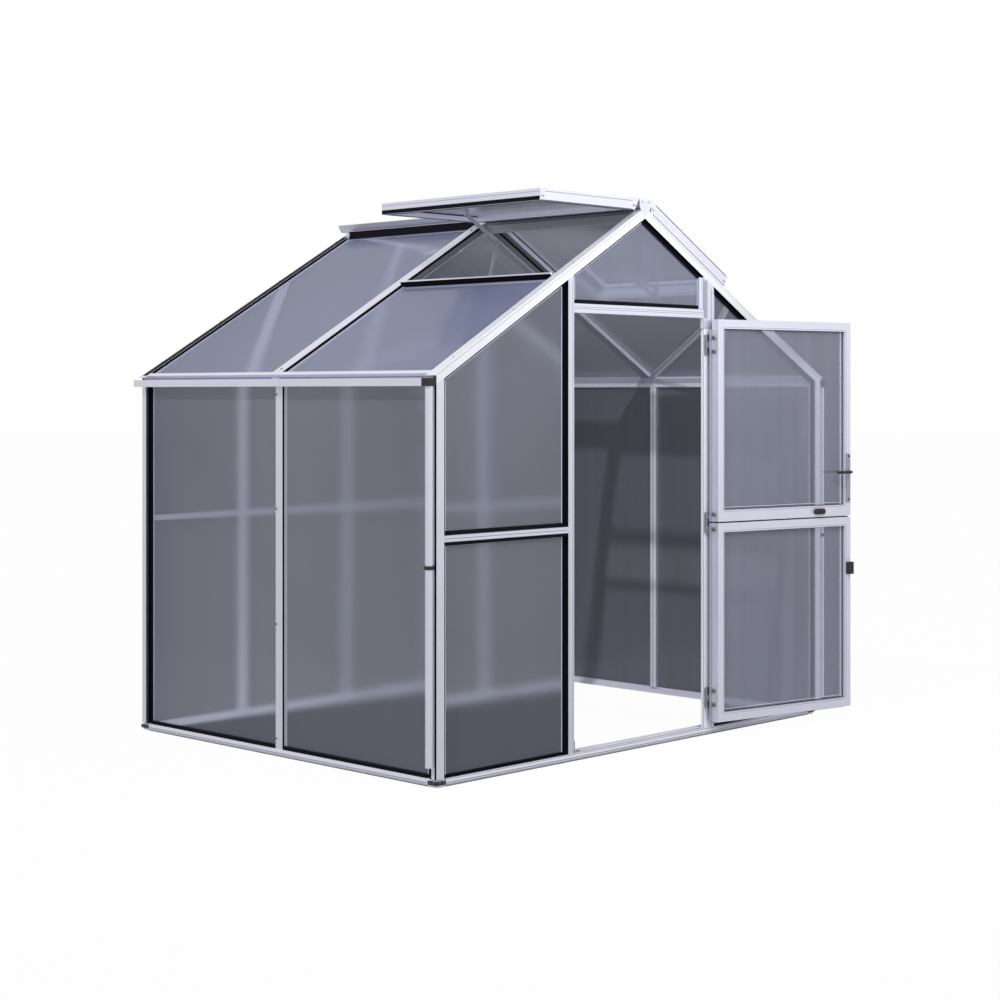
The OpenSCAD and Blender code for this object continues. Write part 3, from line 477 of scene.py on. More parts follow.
def roof_seals():
    """Black lips up the sides of the roof bars and over the rear gable bars."""
    seals = Piece("roof_seals", "house", RUBBER, "gasket")
    beads = Piece("roof_beads", "house", ALU, "alu")
    sides = ((BAR_FRONT, -1, SILL_END), (BAR_REAR, 1, BELOW_RIDGE), (REAR_IN, -1, BELOW_RIDGE),
             (FRONT_IN, 1, SILL_END))
    for s in (-1, 1):
        for y, side, start in sides:
            slope_strip(seals, s, start, STRIP_START - END, y, y + side * 1.2 * MM,
                        3 * MM - ROOF_SET, -1.5 * MM)
            edge = y + side * (GASKET_LOW + 0.5 * MM)
            slope_strip(beads, s, start, STRIP_START - 14 * MM, edge, edge + side * BEAD,
                        SUNK - ROOF_SET, BEAD_DEEP - ROOF_SET)
        slope_strip(seals, s, 50 * MM, STRIP_END - 4 * MM, REAR_IN + 0.5 * MM, REAR - 8 * MM, 0, PROUD)
        slope_strip(seals, s, SILL_END - 15 * MM, SILL_END + 3 * MM, FRONT_IN + 0.5 * MM,
                    BAR_FRONT - 0.5 * MM, 0, PROUD)
        seals.strip((s * RIDGE_HALF, FRONT_IN + END, APEX - 12 * MM),
                    (s * (RIDGE_HALF + PROUD), BAR_FRONT - END, APEX - 1 * MM))
    seals.done()
    beads.done()


def vent_bay():
    """Raised lip of the left vent sill, and painted shade: on the ridge beam's sides, on the sides of the
    bars round the bays under the vents, and on the undersides of the middle bars."""
    lips = Piece("sill_lips", "house", ALU, "alu")
    seals = Piece("sill_seals", "house", RUBBER, "gasket")
    shaded = Piece("vent_bay_shade", "house", SHADED, "alu")
    dim = Piece("ridge_and_bar_shade", "house", DIM_SHADE, "alu")
    y0 = FRONT_IN + 0.5 * MM
    y1 = BAR_FRONT - 0.5 * MM
    slope_strip(lips, -1, SILL_END - 14 * MM, SILL_END - 2 * MM, y0, y1, 0, 13 * MM)
    slope_strip(seals, -1, SILL_END - 2 * MM, SILL_END + 1 * MM, y0, y1, 0.5 * MM - ROOF_SET, 11 * MM)
    bay = (50 * MM, SILL_END - SILL_W - END)
    for s in (-1, 1):
        x0 = s * RIDGE_HALF
        x1 = s * (RIDGE_HALF + PROUD)
        # Painted shade on the ridge beam's sides over the front bay, darker near the top
        shaded.strip((x0, y0, APEX - 27 * MM), (x1, y1, APEX - 12 * MM))
        dim.strip((x0, y0, APEX - 58 * MM), (x1, y1, APEX - 28 * MM))
        for y, side in ((BAR_FRONT, -1), (FRONT_IN, 1)):
            slope_strip(shaded, s, *bay, y, y + side * PROUD, 3 * MM - BAR, -12 * MM)
            slope_strip(seals, s, *bay, y, y + side * PROUD, -12 * MM, -1 * MM)
    wide = BAR_REAR - BAR_FRONT
    # Painted shade along the middle bars' undersides: two bands on the left, one dim band on the right
    for s, piece, a, b in ((-1, shaded, 0.08, 0.42), (-1, shaded, 0.58, 0.92), (1, dim, 0.08, 0.92)):
        slope_strip(piece, s, BELOW_RIDGE, HALF_W / COS - ABOVE_EAVE, BAR_FRONT + a * wide,
                    BAR_FRONT + b * wide, -BAR - PROUD, SUNK - BAR)
    lips.done()
    seals.done()
    shaded.done()
    dim.done()


# The brace's width, its height above the bars' undersides, and its ends without strips
BRACE_W = 30 * MM
BRACE_LIFT = 2 * MM
BRACE_CLEAR = 40 * MM


def inner_edges():
    """Painted highlights seen through the doorway on the middle bar, brace and eave rail on the right, with
    a shaded line along the brace.
    """
    painted_highlights = Piece("inner_edges", "house", PAINTED_LIT, "alu")
    shaded = Piece("brace_line", "house", SHADED, "alu")
    slope_strip(painted_highlights, 1, SILL_END, HALF_W / COS - ABOVE_EAVE, BAR_FRONT - 0.5 * MM, BAR_FRONT + SUNK,
                1 * MM - BAR, 18 * MM - BAR)
    low = Vector((slope_at(SIDE_IN, BAR) - BRACE_W, BAR_FRONT, BRACE_LIFT - BAR))
    high = Vector((slope_at(HALF_W / 2, BAR), FRONT_IN, BRACE_LIFT - BAR))
    run = high - low
    turn = Matrix.Rotation(math.atan2(run.y, run.x), 4, "Z")
    place = slope_place(1) @ Matrix.Translation(low) @ turn
    for piece, y0, y1 in ((painted_highlights, -13, -8), (shaded, -7.5, -4), (painted_highlights, -3.5, 13)):
        piece.strip((BRACE_CLEAR, y0 * MM, -PROUD), (run.length - BRACE_CLEAR, y1 * MM, SUNK), place)
    top = roof_z(SIDE_IN, ROOF_SET + SHEET_T) - 3 * MM
    for y1, z0, z1 in ((REAR_IN - END, EAVE_LO + 1 * MM, EAVE_LO + 19 * MM),
                       (BAR_FRONT - END, top - 6 * MM, top)):
        painted_highlights.strip((SIDE_IN - 1 * MM, FRONT_IN + END, z0), (SIDE_IN + SUNK, y1, z1))
    painted_highlights.done()
    shaded.done()


def gable_beads(beads, turn):
    """Clips on the front wall's panels, or on the rear wall's where turn is -1."""
    face = FRONT if turn > 0 else REAR
    y0 = face + turn * SHEET_OUT
    y1 = y0 - turn * BEAD_DEEP
    doorway = (DOOR_X0, DOOR_X1)
    upper = [(bay, RAIL_TOP) for bay in WALL_BAYS]
    upper.append((doorway, TRANSOM_TOP if turn > 0 else RAIL_TOP))
    lower = WALL_BAYS if turn > 0 else WALL_BAYS + (doorway,)

    def upright(x, side, z0, z1):
        edge = x + side * FIRST_BEAD
        beads.strip((turn * edge, y0, z0), (turn * (edge + side * BEAD), y1, z1))

    for (xa, xb), z in upper:
        for x, side in ((xa, 1), (xb, -1)):
            top = roof_z(x + side * FIRST_BEAD, BAR + GASKET_LOW + 4 * MM)
            upright(x, side, z + GASKET_LOW, top)
        for ha, hb in [(xa, xb)] if xa * xb > 0 else [(xa, 0), (0, xb)]:
            near = ha + BEAD_INSET if ha else 0
            far = hb - BEAD_INSET if hb else 0
            sloping(beads, turn * near, turn * far, BAR + GASKET_LOW + 0.5 * MM, y0, y1, BEAD)
    for xa, xb in lower:
        upright(xa, 1, BASE_H + GASKET_LOW, RAIL_Z - GASKET_LOW)
        upright(xb, -1, BASE_H + GASKET_LOW, RAIL_Z - GASKET_LOW)


def wall_beads():
    """Bright clips along the inner edges of the glazing gaskets, and on the hinge post."""
    beads = Piece("wall_beads", "house", ALU, "alu")
    gable_beads(beads, 1)
    gable_beads(beads, -1)
    sides = ((FRONT_IN + FIRST_BEAD, 1), (MID_FRONT - 2.2 * MM, -1),
             (MID_REAR + 2.2 * MM, 1), (REAR_IN - FIRST_BEAD, -1))
    for s in (-1, 1):
        x = s * (HALF_W - SHEET_OUT)
        for y, side in sides:
            beads.strip((x, y, BASE_H + END), (x + s * BEAD_DEEP, y + side * BEAD, EAVE_LO - END))
    top = roof_z(DOOR_X1, BAR) - 4 * MM
    beads.strip((DOOR_X1 - 19 * MM, FRONT + 8 * MM, TRANSOM_TOP + END),
                (DOOR_X1 - 0.5 * MM, FRONT + 15 * MM, top))
    beads.strip((DOOR_X1 - 3 * MM, FRONT + 0.5 * MM, TRANSOM_TOP + END),
                (DOOR_X1 - 1.6 * MM, FRONT + 9 * MM, top))
    beads.done()


def reveal_seals():
    """Deep black glazing rubber under the right gable bar and on top of the rails."""
    seals = Piece("reveal_seals", "house", RUBBER, "gasket")
    sheet_face = FRONT + WALL_SET - 5.5 * MM
    behind = FRONT + 15.5 * MM
    for xa, xb in ((0, DOOR_X1), (POST_X1, SIDE_IN - 8 * MM)):
        sloping(seals, xa, xb, BAR + SUNK, FRONT + 0.5 * MM, FRONT + 15 * MM, 3 * MM)
        sloping(seals, xa, xb, BAR + 3 * MM, sheet_face, behind, 17 * MM)
    over = [(xa, xb, RAIL_TOP) for xa, xb in WALL_BAYS]
    over.append((DOOR_X0, DOOR_X1 - 20 * MM, TRANSOM_TOP))
    for xa, xb, z in over:
        seals.strip((xa + END, sheet_face, z + 0.3 * MM), (xb - END, behind, z + 17 * MM))
    seals.done()


def post_faces():
    """Painted shade for a step on the hinge post above the transom, painted light on the hinge post's faces
    below it and on the side posts' inner faces, painted shade along those inner faces' rear edges, and
    groove lines.
    """
    dim = Piece("hinge_post_step_shade", "house", DIM_SHADE, "alu")
    faces = Piece("post_faces", "house", PAINTED_LIT, "alu")
    shaded = Piece("side_post_shaded_edges", "house", SHADED, "alu")
    lines = Piece("side_post_lines", "house", GROOVE, "alu")
    # Painted shade standing in for a step on the hinge post's face above the transom
    step = DOOR_X1 + 27 * MM
    dim.strip((DOOR_X1 + 0.5 * MM, FRONT - 0.3 * MM, TRANSOM_LOW),
              (step, FRONT + SUNK, roof_z(step, BAR) - END))
    under = TRANSOM_LOW - 48 * MM
    faces.strip((DOOR_X1 + 0.5 * MM, FRONT - 0.2 * MM, BASE_H + END),
                (DOOR_X1 + 33 * MM, FRONT + SUNK, under))
    for piece, y0, y1 in ((faces, 3, 13.5), (lines, 0.4, 2.6)):
        piece.strip((DOOR_X1 - 0.2 * MM, FRONT + y0 * MM, BASE_H + END),
                    (DOOR_X1 + SUNK, FRONT + y1 * MM, under))
    # Side posts' inner faces: painted light, painted shade along the rear edge, and a groove line
    bands = ((faces, MID_FRONT + 0.5 * MM, MID_REAR - 7.2 * MM, THIN),
             (shaded, MID_REAR - 7 * MM, MID_REAR - 0.5 * MM, THIN),
             (lines, MID_REAR - 23 * MM, MID_REAR - 20 * MM, 0.5 * MM))
    for s in (-1, 1):
        for piece, y0, y1, proud in bands:
            piece.strip((s * (SIDE_IN - proud), y0, BASE_H + END),
                        (s * (SIDE_IN + SUNK), y1, EAVE_LO - END))
    dim.done()
    faces.done()
    shaded.done()
    lines.done()


def corner_seals():
    """Black seals along the corner posts' outer faces, at the wall sheets' feet and under the front
    rails, and painted shade by each corner post's front edge."""
    seals = Piece("corner_seals", "house", RUBBER, "gasket")
    bays = ((FRONT_IN + GASKET_UP, MID_FRONT - 2 * MM), (MID_REAR + 2 * MM, REAR_IN - GASKET_UP))
    # The strip from FRONT + 1 mm is painted shade on the corner posts' side faces; the other two are seals
    edges = ((REAR_IN, REAR_IN + 11 * MM), (FRONT_IN - 11 * MM, FRONT_IN),
             (FRONT + 1 * MM, FRONT + 11 * MM))
    for s in (-1, 1):
        sheet = HALF_W - WALL_SET
        for y0, y1 in bays:
            seals.strip((s * (sheet + PROUD), y0, BASE_H + 0.3 * MM),
                        (s * (sheet + 9 * MM), y1, BASE_H + 14 * MM))
            seals.strip((s * (sheet + 9 * MM), y0, BASE_H + SUNK),
                        (s * (sheet + 14 * MM), y1, BASE_H + 2 * MM))
        for y0, y1 in edges:
            seals.strip((s * HALF_W, y0, BASE_H + END), (s * (HALF_W + PROUD), y1, EAVE_LO + 20 * MM))
    for xa, xb in WALL_BAYS:
        seals.strip((xa + END, FRONT + 2 * MM, RAIL_Z - 14 * MM),
                    (xb - END, FRONT + 15 * MM, RAIL_Z - 0.3 * MM))
        seals.strip((xa + END, FRONT + 6 * MM, BASE_H + SUNK), (xb - END, FRONT + 15 * MM, BASE_H + 2 * MM))
    seals.done()


def bar_lines():
    """Fine grooves along the outer faces of the front gable's bars."""
    lines = Piece("bar_lines", "house", GROOVE, "alu")
    y0 = FRONT - 0.2 * MM
    y1 = FRONT + 0.2 * MM
    post_top = roof_z(POST_X0, BAR) - 6 * MM
    for x, w in ((POST_X0 + 25 * MM, 2 * MM), (POST_X1 - 20 * MM, 3.5 * MM)):
        lines.strip((x, y0, BASE_H + END), (x + w, y1, post_top))
    for share in (0.42, 0.62):
        z = TRANSOM_LOW + TRANSOM_H * share
        lines.strip((DOOR_X0 + END, y0, z), (DOOR_X1 - END, y1, z + 1.6 * MM))
    for xa, xb in WALL_BAYS:
        lines.strip((xa + END, y0, RAIL_Z + RAIL_H * 0.45), (xb - END, y1, RAIL_Z + RAIL_H * 0.55))
    for s in (-1, 1):
        slope_strip(lines, s, 40 * MM, HALF_W / COS, y0, y1, -10.5 * MM, -9 * MM)
    lines.done()


SILL_LIP = 9 * MM


def base_lines():
    """Painted highlights on the base rails' rolled edges, lines of painted shade along their feet and under
    the highlights, and the doorway's lip, also painted light.
    """
    lines = Piece("base_lines", "house", SHADED, "alu")
    edges = Piece("base_highlights", "house", PAINTED_LIT, "alu")
    long = SIDE_IN - 8 * MM
    # Painted shade at 13 to 15 mm and at the foot, painted highlights at 17 to 26 mm
    for piece, z0, z1 in ((lines, 13 * MM, 15 * MM), (lines, 0.5 * MM, 4 * MM), (edges, 17 * MM, 26 * MM)):
        for s in (-1, 1):
            piece.strip((s * (HALF_W - 0.2 * MM), FRONT + 48 * MM, z0),
                        (s * (HALF_W + 0.3 * MM), REAR - 48 * MM, z1))
        for face in (FRONT, REAR):
            piece.strip((-long, face - 0.3 * MM, z0), (long, face + 0.3 * MM, z1))
    # Painted highlight along the front rail's top front edge
    edges.strip((-long, FRONT - 0.3 * MM, BASE_H - 2 * MM), (long, FRONT + 5 * MM, BASE_H + PROUD))
    edges.strip((DOOR_X0 + END, BASE_IN - 3 * MM, BASE_H),
                (DOOR_X1 + 33 * MM, BASE_IN - 0.2 * MM, BASE_H + SILL_LIP))
    lines.done()
    edges.done()


# ---------- ridge ----------
def ridge_ends():
    """Plates that close the two ends of the ridge cap."""
    plates = Piece("ridge_ends", "house", ALU, "alu")
    ridge_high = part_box("ridge")[1]
    rear_end = ridge_high[1]
    top = ridge_high[2]
    # Right half of the front plate's outline, from its foot up
    half = [(0, APEX - 36 * MM), (26 * MM, APEX - 21 * MM), (36 * MM, APEX + 8 * MM),
            (36 * MM, top - 1 * MM)]
    outline = half + [(-x, z) for x, z in reversed(half) if x > 0]
    plate_out = FRONT - 1.2 * MM
    plates.outline(outline, plate_out, FRONT - SUNK)
    plates.outline([(x * 0.8, z) for x, z in outline if z > APEX], rear_end - 2 * MM, rear_end - 0.3 * MM)
    plates.done()
    screws = Piece("ridge_screws", "house", STEEL, "hinge_metal")
    for x in (-20 * MM, 20 * MM):
        screws.screw((x, plate_out, top - 12 * MM), (0, -1, 0), SMALL_HEAD)
        screws.screw((x, rear_end - 2.3 * MM, top - 12 * MM), (0, 1, 0), SMALL_HEAD)
    screws.done()


# ---------- vents ----------
# Thickness and length of a vent leaf, width of its bars, and its sheet's height in them
VENT_T = 48 * MM
VENT_L = 604 * MM
VENT_BAR = 36 * MM
VENT_SHEET_UP = 24 * MM
# Both edges of the slanting bar's underside at the hinge, counted from the hinge
VENT_TOP_BAR = 64 * MM
VENT_HINGE = 34 * MM


class VentLeaf:
    """A vent leaf's own coordinates: X runs from the free edge to the hinge, Y from the
    front edge to the rear one, and Z counts up from the top face."""

    def __init__(self, s):
        if s < 0:
            low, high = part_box("vent_left_frame")
            self.place = place_at((low[0], low[1], high[2]), (1, 0, 0), (0, 0, 1))
            self.length = high[0] - low[0]
        else:
            low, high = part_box("vent_right_frame")
            corner = (high[0], low[1], low[2] + VENT_T * COS)
            self.place = place_at(corner, (-COS, 0, SIN), (SIN, 0, COS))
            self.length = VENT_L
        self.is_open = s < 0
        self.width = high[1] - low[1]
        # The right leaf's matrix has its Y towards the front
        self.side = 1 if s < 0 else -1

    def strip(self, piece, x0, x1, y0, y1, z0, z1):
        piece.strip((x0, self.side * y0, z0), (x1, self.side * y1, z1), self.place)

    def screw(self, piece, x, y, z, out):
        piece.screw((x, self.side * y, z), (0, self.side * out, 0), SMALL_HEAD, self.place)


def vent_edges(leaf, grooves, seals, screws):
    """Grooves, lower seals and corner screws on the outer edges."""
    inner = leaf.length - 40 * MM
    for y, out in ((0, -1), (leaf.width, 1)):
        proud = y + out * THIN
        if leaf.is_open:
            leaf.strip(grooves, 28 * MM, inner, y, proud, -12 * MM, -9.5 * MM)
        else:
            leaf.strip(seals, 10 * MM, inner, y, proud, -4.5 * MM, -1 * MM)
        leaf.strip(seals, 3 * MM, inner, y, proud, 0.5 * MM - VENT_T, 3 * MM - VENT_T)
        for x in (9 * MM, 19 * MM, inner + 4 * MM, inner + 14 * MM):
            leaf.screw(screws, x, y, -30 * MM, out)
    y0 = 2 * MM
    y1 = leaf.width - 2 * MM
    leaf.strip(seals, -THIN, SUNK, y0, y1, 1 * MM - VENT_T, 18 * MM - VENT_T)
    leaf.strip(grooves, -0.2 * MM, SUNK, y0, y1, -13 * MM, -11.5 * MM)


def vent_glazing(leaf, seals):
    """Gaskets below and above the sheet, along the free edge and both sides."""
    inset = VENT_BAR + 3 * MM
    back = leaf.length - VENT_TOP_BAR
    far = leaf.width - VENT_BAR
    runs = ((VENT_BAR, inset, VENT_BAR, far), (VENT_BAR, back, VENT_BAR, inset),
            (VENT_BAR, back, far, leaf.width - inset))
    under = VENT_SHEET_UP - VENT_T
    for run in runs:
        leaf.strip(seals, *run, under - 4 * MM, under)
        leaf.strip(seals, *run, under + 6 * MM, under + 10 * MM)


def vent_underside(leaf, shaded):
    """Shaded undersides of the four bars."""
    back = leaf.length - VENT_TOP_BAR
    near = 1 * MM
    far = leaf.width - 1 * MM
    for x0, x1, y0, y1 in ((1 * MM, VENT_BAR, near, far), (back, leaf.length - VENT_HINGE, near, far),
                           (VENT_BAR, back, near, VENT_BAR), (VENT_BAR, back, leaf.width - VENT_BAR, far)):
        leaf.strip(shaded, x0, x1, y0, y1, -VENT_T - THIN, SUNK - VENT_T)


def vent_details():
    grooves = Piece("vent_grooves", "house", GROOVE, "alu")
    seals = Piece("vent_seals", "house", RUBBER, "gasket")
    screws = Piece("vent_screws", "house", STEEL, "hinge_metal")
    shaded = Piece("vent_undersides", "house", SHADED, "alu")
    for s in (-1, 1):
        leaf = VentLeaf(s)
        vent_edges(leaf, grooves, seals, screws)
        vent_glazing(leaf, seals)
        vent_underside(leaf, shaded)
    shaded.done()
    grooves.done()
    seals.done()
    screws.done()


# ---------- screws ----------
plate_low, plate_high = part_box("base_corners")
PLATE_Z = (plate_low[2] + plate_high[2]) / 2
PLATE_T = 3 * MM
PLATE_SCREWS = (14 * MM, 36 * MM)
POST_SCREWS = (71 * MM, 538 * MM, 1009 * MM, 1476 * MM)
SLOPE_SCREWS = (100 * MM, 500 * MM, 900 * MM, 1280 * MM)


def house_screws():
    """Screws on the side posts, the roof bars and the corner plates."""
    screws = Piece("house_screws", "house", STEEL, "hinge_metal")
    bar_middle = (BAR_FRONT + BAR_REAR) / 2
    for s in (-1, 1):
        for z in POST_SCREWS:
            screws.screw((s * (HALF_W - 8 * MM), MID_REAR - 6 * MM, z), (s, 0, 0))
        slope = slope_place(s)
        for x in (STRIP_START - 25 * MM, 90 * MM):
            screws.screw((x, s * bar_middle, 0), (0, 0, 1), HEAD, slope)
        for x in SLOPE_SCREWS:
            for y in (FRONT + 12 * MM, REAR - 4 * MM):
                screws.screw((x, s * y, PROUD * 0.2), (0, 0, 1), SMALL_HEAD, slope)
        for along in PLATE_SCREWS:
            for y in (FRONT + along, REAR - along):
                screws.screw((s * (HALF_W + PLATE_T), y, PLATE_Z), (s, 0, 0), SMALL_HEAD)
            screws.screw((s * (HALF_W - along), FRONT - PLATE_T, PLATE_Z), (0, -1, 0), SMALL_HEAD)
    screws.done()


# ---------- door leaves ----------
# Leaf sizes are those of the shut leaf; LEAF_PLACE turns it to its place at rest
PIN = Vector((400 * MM, -27 * MM, 0))
OPEN_ANGLE = math.radians(169.5)
LEAF_PLACE = Matrix.Translation(PIN) @ Matrix.Rotation(OPEN_ANGLE, 4, "Z") @ Matrix.Translation(-PIN)
LEAF_X0 = -428 * MM
LEAF_X1 = 372 * MM
LEAF_IN = 20 * MM
STILE = 35 * MM
TOP_RAIL = 40 * MM
# Each leaf's name, lower edge, upper edge and lower rail
LEAVES = (("lower", 60 * MM, 919 * MM, 40 * MM), ("upper", 925 * MM, 1800 * MM, 50 * MM))
# Feet and height of the hinges, and the diameter of their largest bolt heads
HINGE_Z = (120 * MM, 879 * MM, 1648 * MM)
HINGE_H = 86 * MM
BOLT = 20 * MM


def hinge_screws():
    """Bolts of the hinges: dark heads on the post and on the leaves' hinge edges."""
    house = Piece("hinge_bolts", "house", STEEL, "hinge_metal")
    lower = Piece("lower_leaf_bolts", "door_lower", STEEL, "hinge_metal")
    upper = Piece("upper_leaf_bolts", "door_upper", STEEL, "hinge_metal")
    for z in HINGE_Z:
        for share, d in ((0.15, HEAD), (0.5, BOLT), (0.85, HEAD)):
            house.screw((PIN.x + 15 * MM, FRONT - 2.8 * MM, z + HINGE_H * share), (0, -1, 0), d)
    pairs = ((lower, HINGE_Z[0], (0.15, 0.85)), (lower, HINGE_Z[1], (0.15,)),
             (upper, HINGE_Z[1], (0.9,)), (upper, HINGE_Z[2], (0.15, 0.85)))
    for piece, z, shares in pairs:
        for share in shares:
            piece.screw((LEAF_X1, -4 * MM, z + HINGE_H * share), (1, 0, 0), BOLT, LEAF_PLACE)
    house.done()
    lower.done()
    upper.done()


SEAL_W = 2.5 * MM
LINE_W = 1.5 * MM
# How far the fine grooves stand outside the opening: their outer and inner edges
LINE_OUT = 7 * MM
LINE_IN = LINE_OUT - LINE_W


def leaf_seals(seals, xa, xb, za, zb, y0, y1):
    """Gasket round the inside of a leaf's opening, on one face."""
    inset = 0.2 * MM
    seals.strip((xa + inset, y0, za + inset), (xa + SEAL_W, y1, zb), LEAF_PLACE)
    seals.strip((xb - SEAL_W, y0, za + inset), (xb - inset, y1, zb), LEAF_PLACE)
    seals.strip((xa + SEAL_W, y0, za + inset), (xb - SEAL_W, y1, za + SEAL_W), LEAF_PLACE)
    seals.strip((xa + SEAL_W, y0, zb - SEAL_W), (xb - SEAL_W, y1, zb - inset), LEAF_PLACE)


def leaf_beads(beads, xa, xb, za, zb, y0, y1):
    """Bright lines on the sheet beside the gasket, on both sides and at the foot."""
    for x in (xa + 10 * MM, xb - 13 * MM):
        beads.strip((x, y0, za + SEAL_W), (x + 3 * MM, y1, zb - SEAL_W), LEAF_PLACE)
    beads.strip((xa + 13 * MM, y0, za + 10 * MM), (xb - 13 * MM, y1, za + 12 * MM), LEAF_PLACE)


def leaf_lines(lines, xa, xb, za, zb, y0, y1):
    """Fine grooves round the opening, on one face of the frame."""
    for x in (xa - LINE_OUT, xb + LINE_IN):
        lines.strip((x, y0, za - LINE_OUT), (x + LINE_W, y1, zb + LINE_OUT), LEAF_PLACE)
    for z in (za - LINE_OUT, zb + LINE_IN):
        lines.strip((xa, y0, z), (xb, y1, z + LINE_W), LEAF_PLACE)


def leaf_details():
    """Gaskets, bright lines and fine grooves on both faces of the leaves."""
    for name, z0, z1, low_rail in LEAVES:
        body = "door_" + name
        seals = Piece(name + "_leaf_gasket", body, RUBBER, "gasket")
        lines = Piece(name + "_leaf_lines", body, GROOVE, "alu")
        beads = Piece(name + "_leaf_beads", body, ALU, "alu")
        opening = (LEAF_X0 + STILE, LEAF_X1 - STILE, z0 + low_rail, z1 - TOP_RAIL)
        for side in (-1, 1):
            sheet_out = side * 3.2 * MM
            leaf_seals(seals, *opening, sheet_out, side * 6.5 * MM)
            leaf_beads(beads, *opening, sheet_out, side * 4.2 * MM)
            leaf_lines(lines, *opening, side * LEAF_IN, side * (LEAF_IN + 0.25 * MM))
        if name == "lower":
            seals.strip((LEAF_X0 + 2 * MM, -6 * MM, z1), (LEAF_X1 - 2 * MM, 6 * MM, z1 + 3.6 * MM),
                        LEAF_PLACE)
        seals.done()
        lines.done()
        beads.done()


# How far the strips reach beyond the hinge edge, the latch edge and the foot
HINGE_COVER = 16 * MM
LATCH_COVER = 11 * MM
FOOT_COVER = 10 * MM
# Where the strips stop short of the top catch and of the foot bracket
CATCH_H = 43 * MM
BRACKET_H = 26 * MM


def cover_strips():
    """Flat strips round the leaves' outer faces, which cover the gaps round them when shut; they are dim as
    painted shade in those gaps.
    """
    y0 = FRONT + 0.3 * MM
    y1 = FRONT + 2.3 * MM
    for name, z0, z1, _ in LEAVES:
        shaded_covers = Piece(name + "_cover_strips", "door_" + name, DIM_SHADE, "alu")
        hinge_top = z1 if name == "lower" else z1 - CATCH_H
        latch_low = z0 + BRACKET_H if name == "lower" else z0
        shaded_covers.strip((LEAF_X1 - 1 * MM, y0, z0), (LEAF_X1 + HINGE_COVER, y1, hinge_top), LEAF_PLACE)
        shaded_covers.strip((LEAF_X0 - LATCH_COVER, y0, latch_low), (LEAF_X0 + 1 * MM, y1, z1), LEAF_PLACE)
        if name == "lower":
            shaded_covers.strip((LEAF_X0, y0, z0 - FOOT_COVER), (LEAF_X1, y1, z0 + 1 * MM), LEAF_PLACE)
        shaded_covers.done()


HANDLE_Z = 987 * MM
HANDLE_H = 220 * MM
PLATE_DEEP = 6 * MM


def handle():
    """Two slim lever sets: a metal back plate with a dark lever on each face."""
    plates = Piece("handle_plates", "door_upper", DARK_METAL, "hinge_metal")
    levers = Piece("handle_levers", "door_upper", PLASTIC, "black_plastic")
    x = LEAF_X0 + STILE / 2
    z = HANDLE_Z + HANDLE_H * 0.62
    # Each row: along the lever, out from the leaf's face, and the radius there, in mm
    rows = ((0, 5, 9), (0, 14, 6), (0, 20, 6), (2.5, 25.5, 6.6), (9, 28.5, 7.2), (30, 28.5, 7.4),
            (86, 28.5, 7.0), (92, 28.5, 5.6), (95, 28.5, 2.5))
    for side in (-1, 1):
        face = side * (LEAF_IN + 0.3 * MM)
        plate_out = face + side * PLATE_DEEP
        plates.strip((x - 12 * MM, face, HANDLE_Z), (x + 12 * MM, plate_out, HANDLE_Z + HANDLE_H),
                     LEAF_PLACE, 0.3)
        for screw_z in (HANDLE_Z + 12 * MM, HANDLE_Z + HANDLE_H - 12 * MM):
            levers.screw((x, plate_out, screw_z), (0, side, 0), HEAD, LEAF_PLACE)
        path = [(x + along * MM, face + side * out * MM, z) for along, out, _ in rows]
        levers.tube(path, [radius * MM for _, _, radius in rows], LEAF_PLACE)
    plates.done(replaced=("door_handle",))
    levers.done(replaced=("door_handle",))


# ---------- small fittings ----------
def fittings():
    """Top catch on the hinge post, foot bracket of the latch post, and its screws."""
    silver = Piece("small_fittings", "house", HINGE, "hinge_metal")
    silver.strip((DOOR_X1 - 12 * MM, FRONT + 1 * MM, TRANSOM_LOW - 46 * MM),
                 (DOOR_X1, FRONT + 12 * MM, TRANSOM_LOW - 8 * MM))
    silver.strip((DOOR_X1 - 15 * MM, FRONT - 1 * MM, TRANSOM_LOW - 8 * MM),
                 (DOOR_X1, FRONT + 13 * MM, TRANSOM_LOW - 1 * MM))
    foot = DOOR_X0
    foot_top = BASE_H + 3 * MM
    silver.strip((foot, FRONT + 8 * MM, BASE_H), (foot + 60 * MM, FRONT + 34 * MM, foot_top))
    silver.done()
    screws = Piece("fitting_screws", "house", STEEL, "hinge_metal")
    screws.strip((foot + 0.3 * MM, FRONT + 0.5 * MM, BASE_H),
                 (foot + 6.5 * MM, FRONT + 14 * MM, BASE_H + 52 * MM))
    screws.screw((foot + 44 * MM, FRONT + 20 * MM, foot_top), (0, 0, 1), 10 * MM)
    screws.done()


roof_seals()
vent_bay()
inner_edges()
wall_beads()
corner_seals()
reveal_seals()
post_faces()
bar_lines()
base_lines()
ridge_ends()
vent_details()
house_screws()
hinge_screws()
leaf_details()
cover_strips()
handle()
fittings()


# ---------- stage ----------
WHITE = (1, 1, 1, 1)
BEHIND = (0.11, 0.112, 0.135, 1)
AMBIENT = 0.38
FLOOR_SIZE = 60


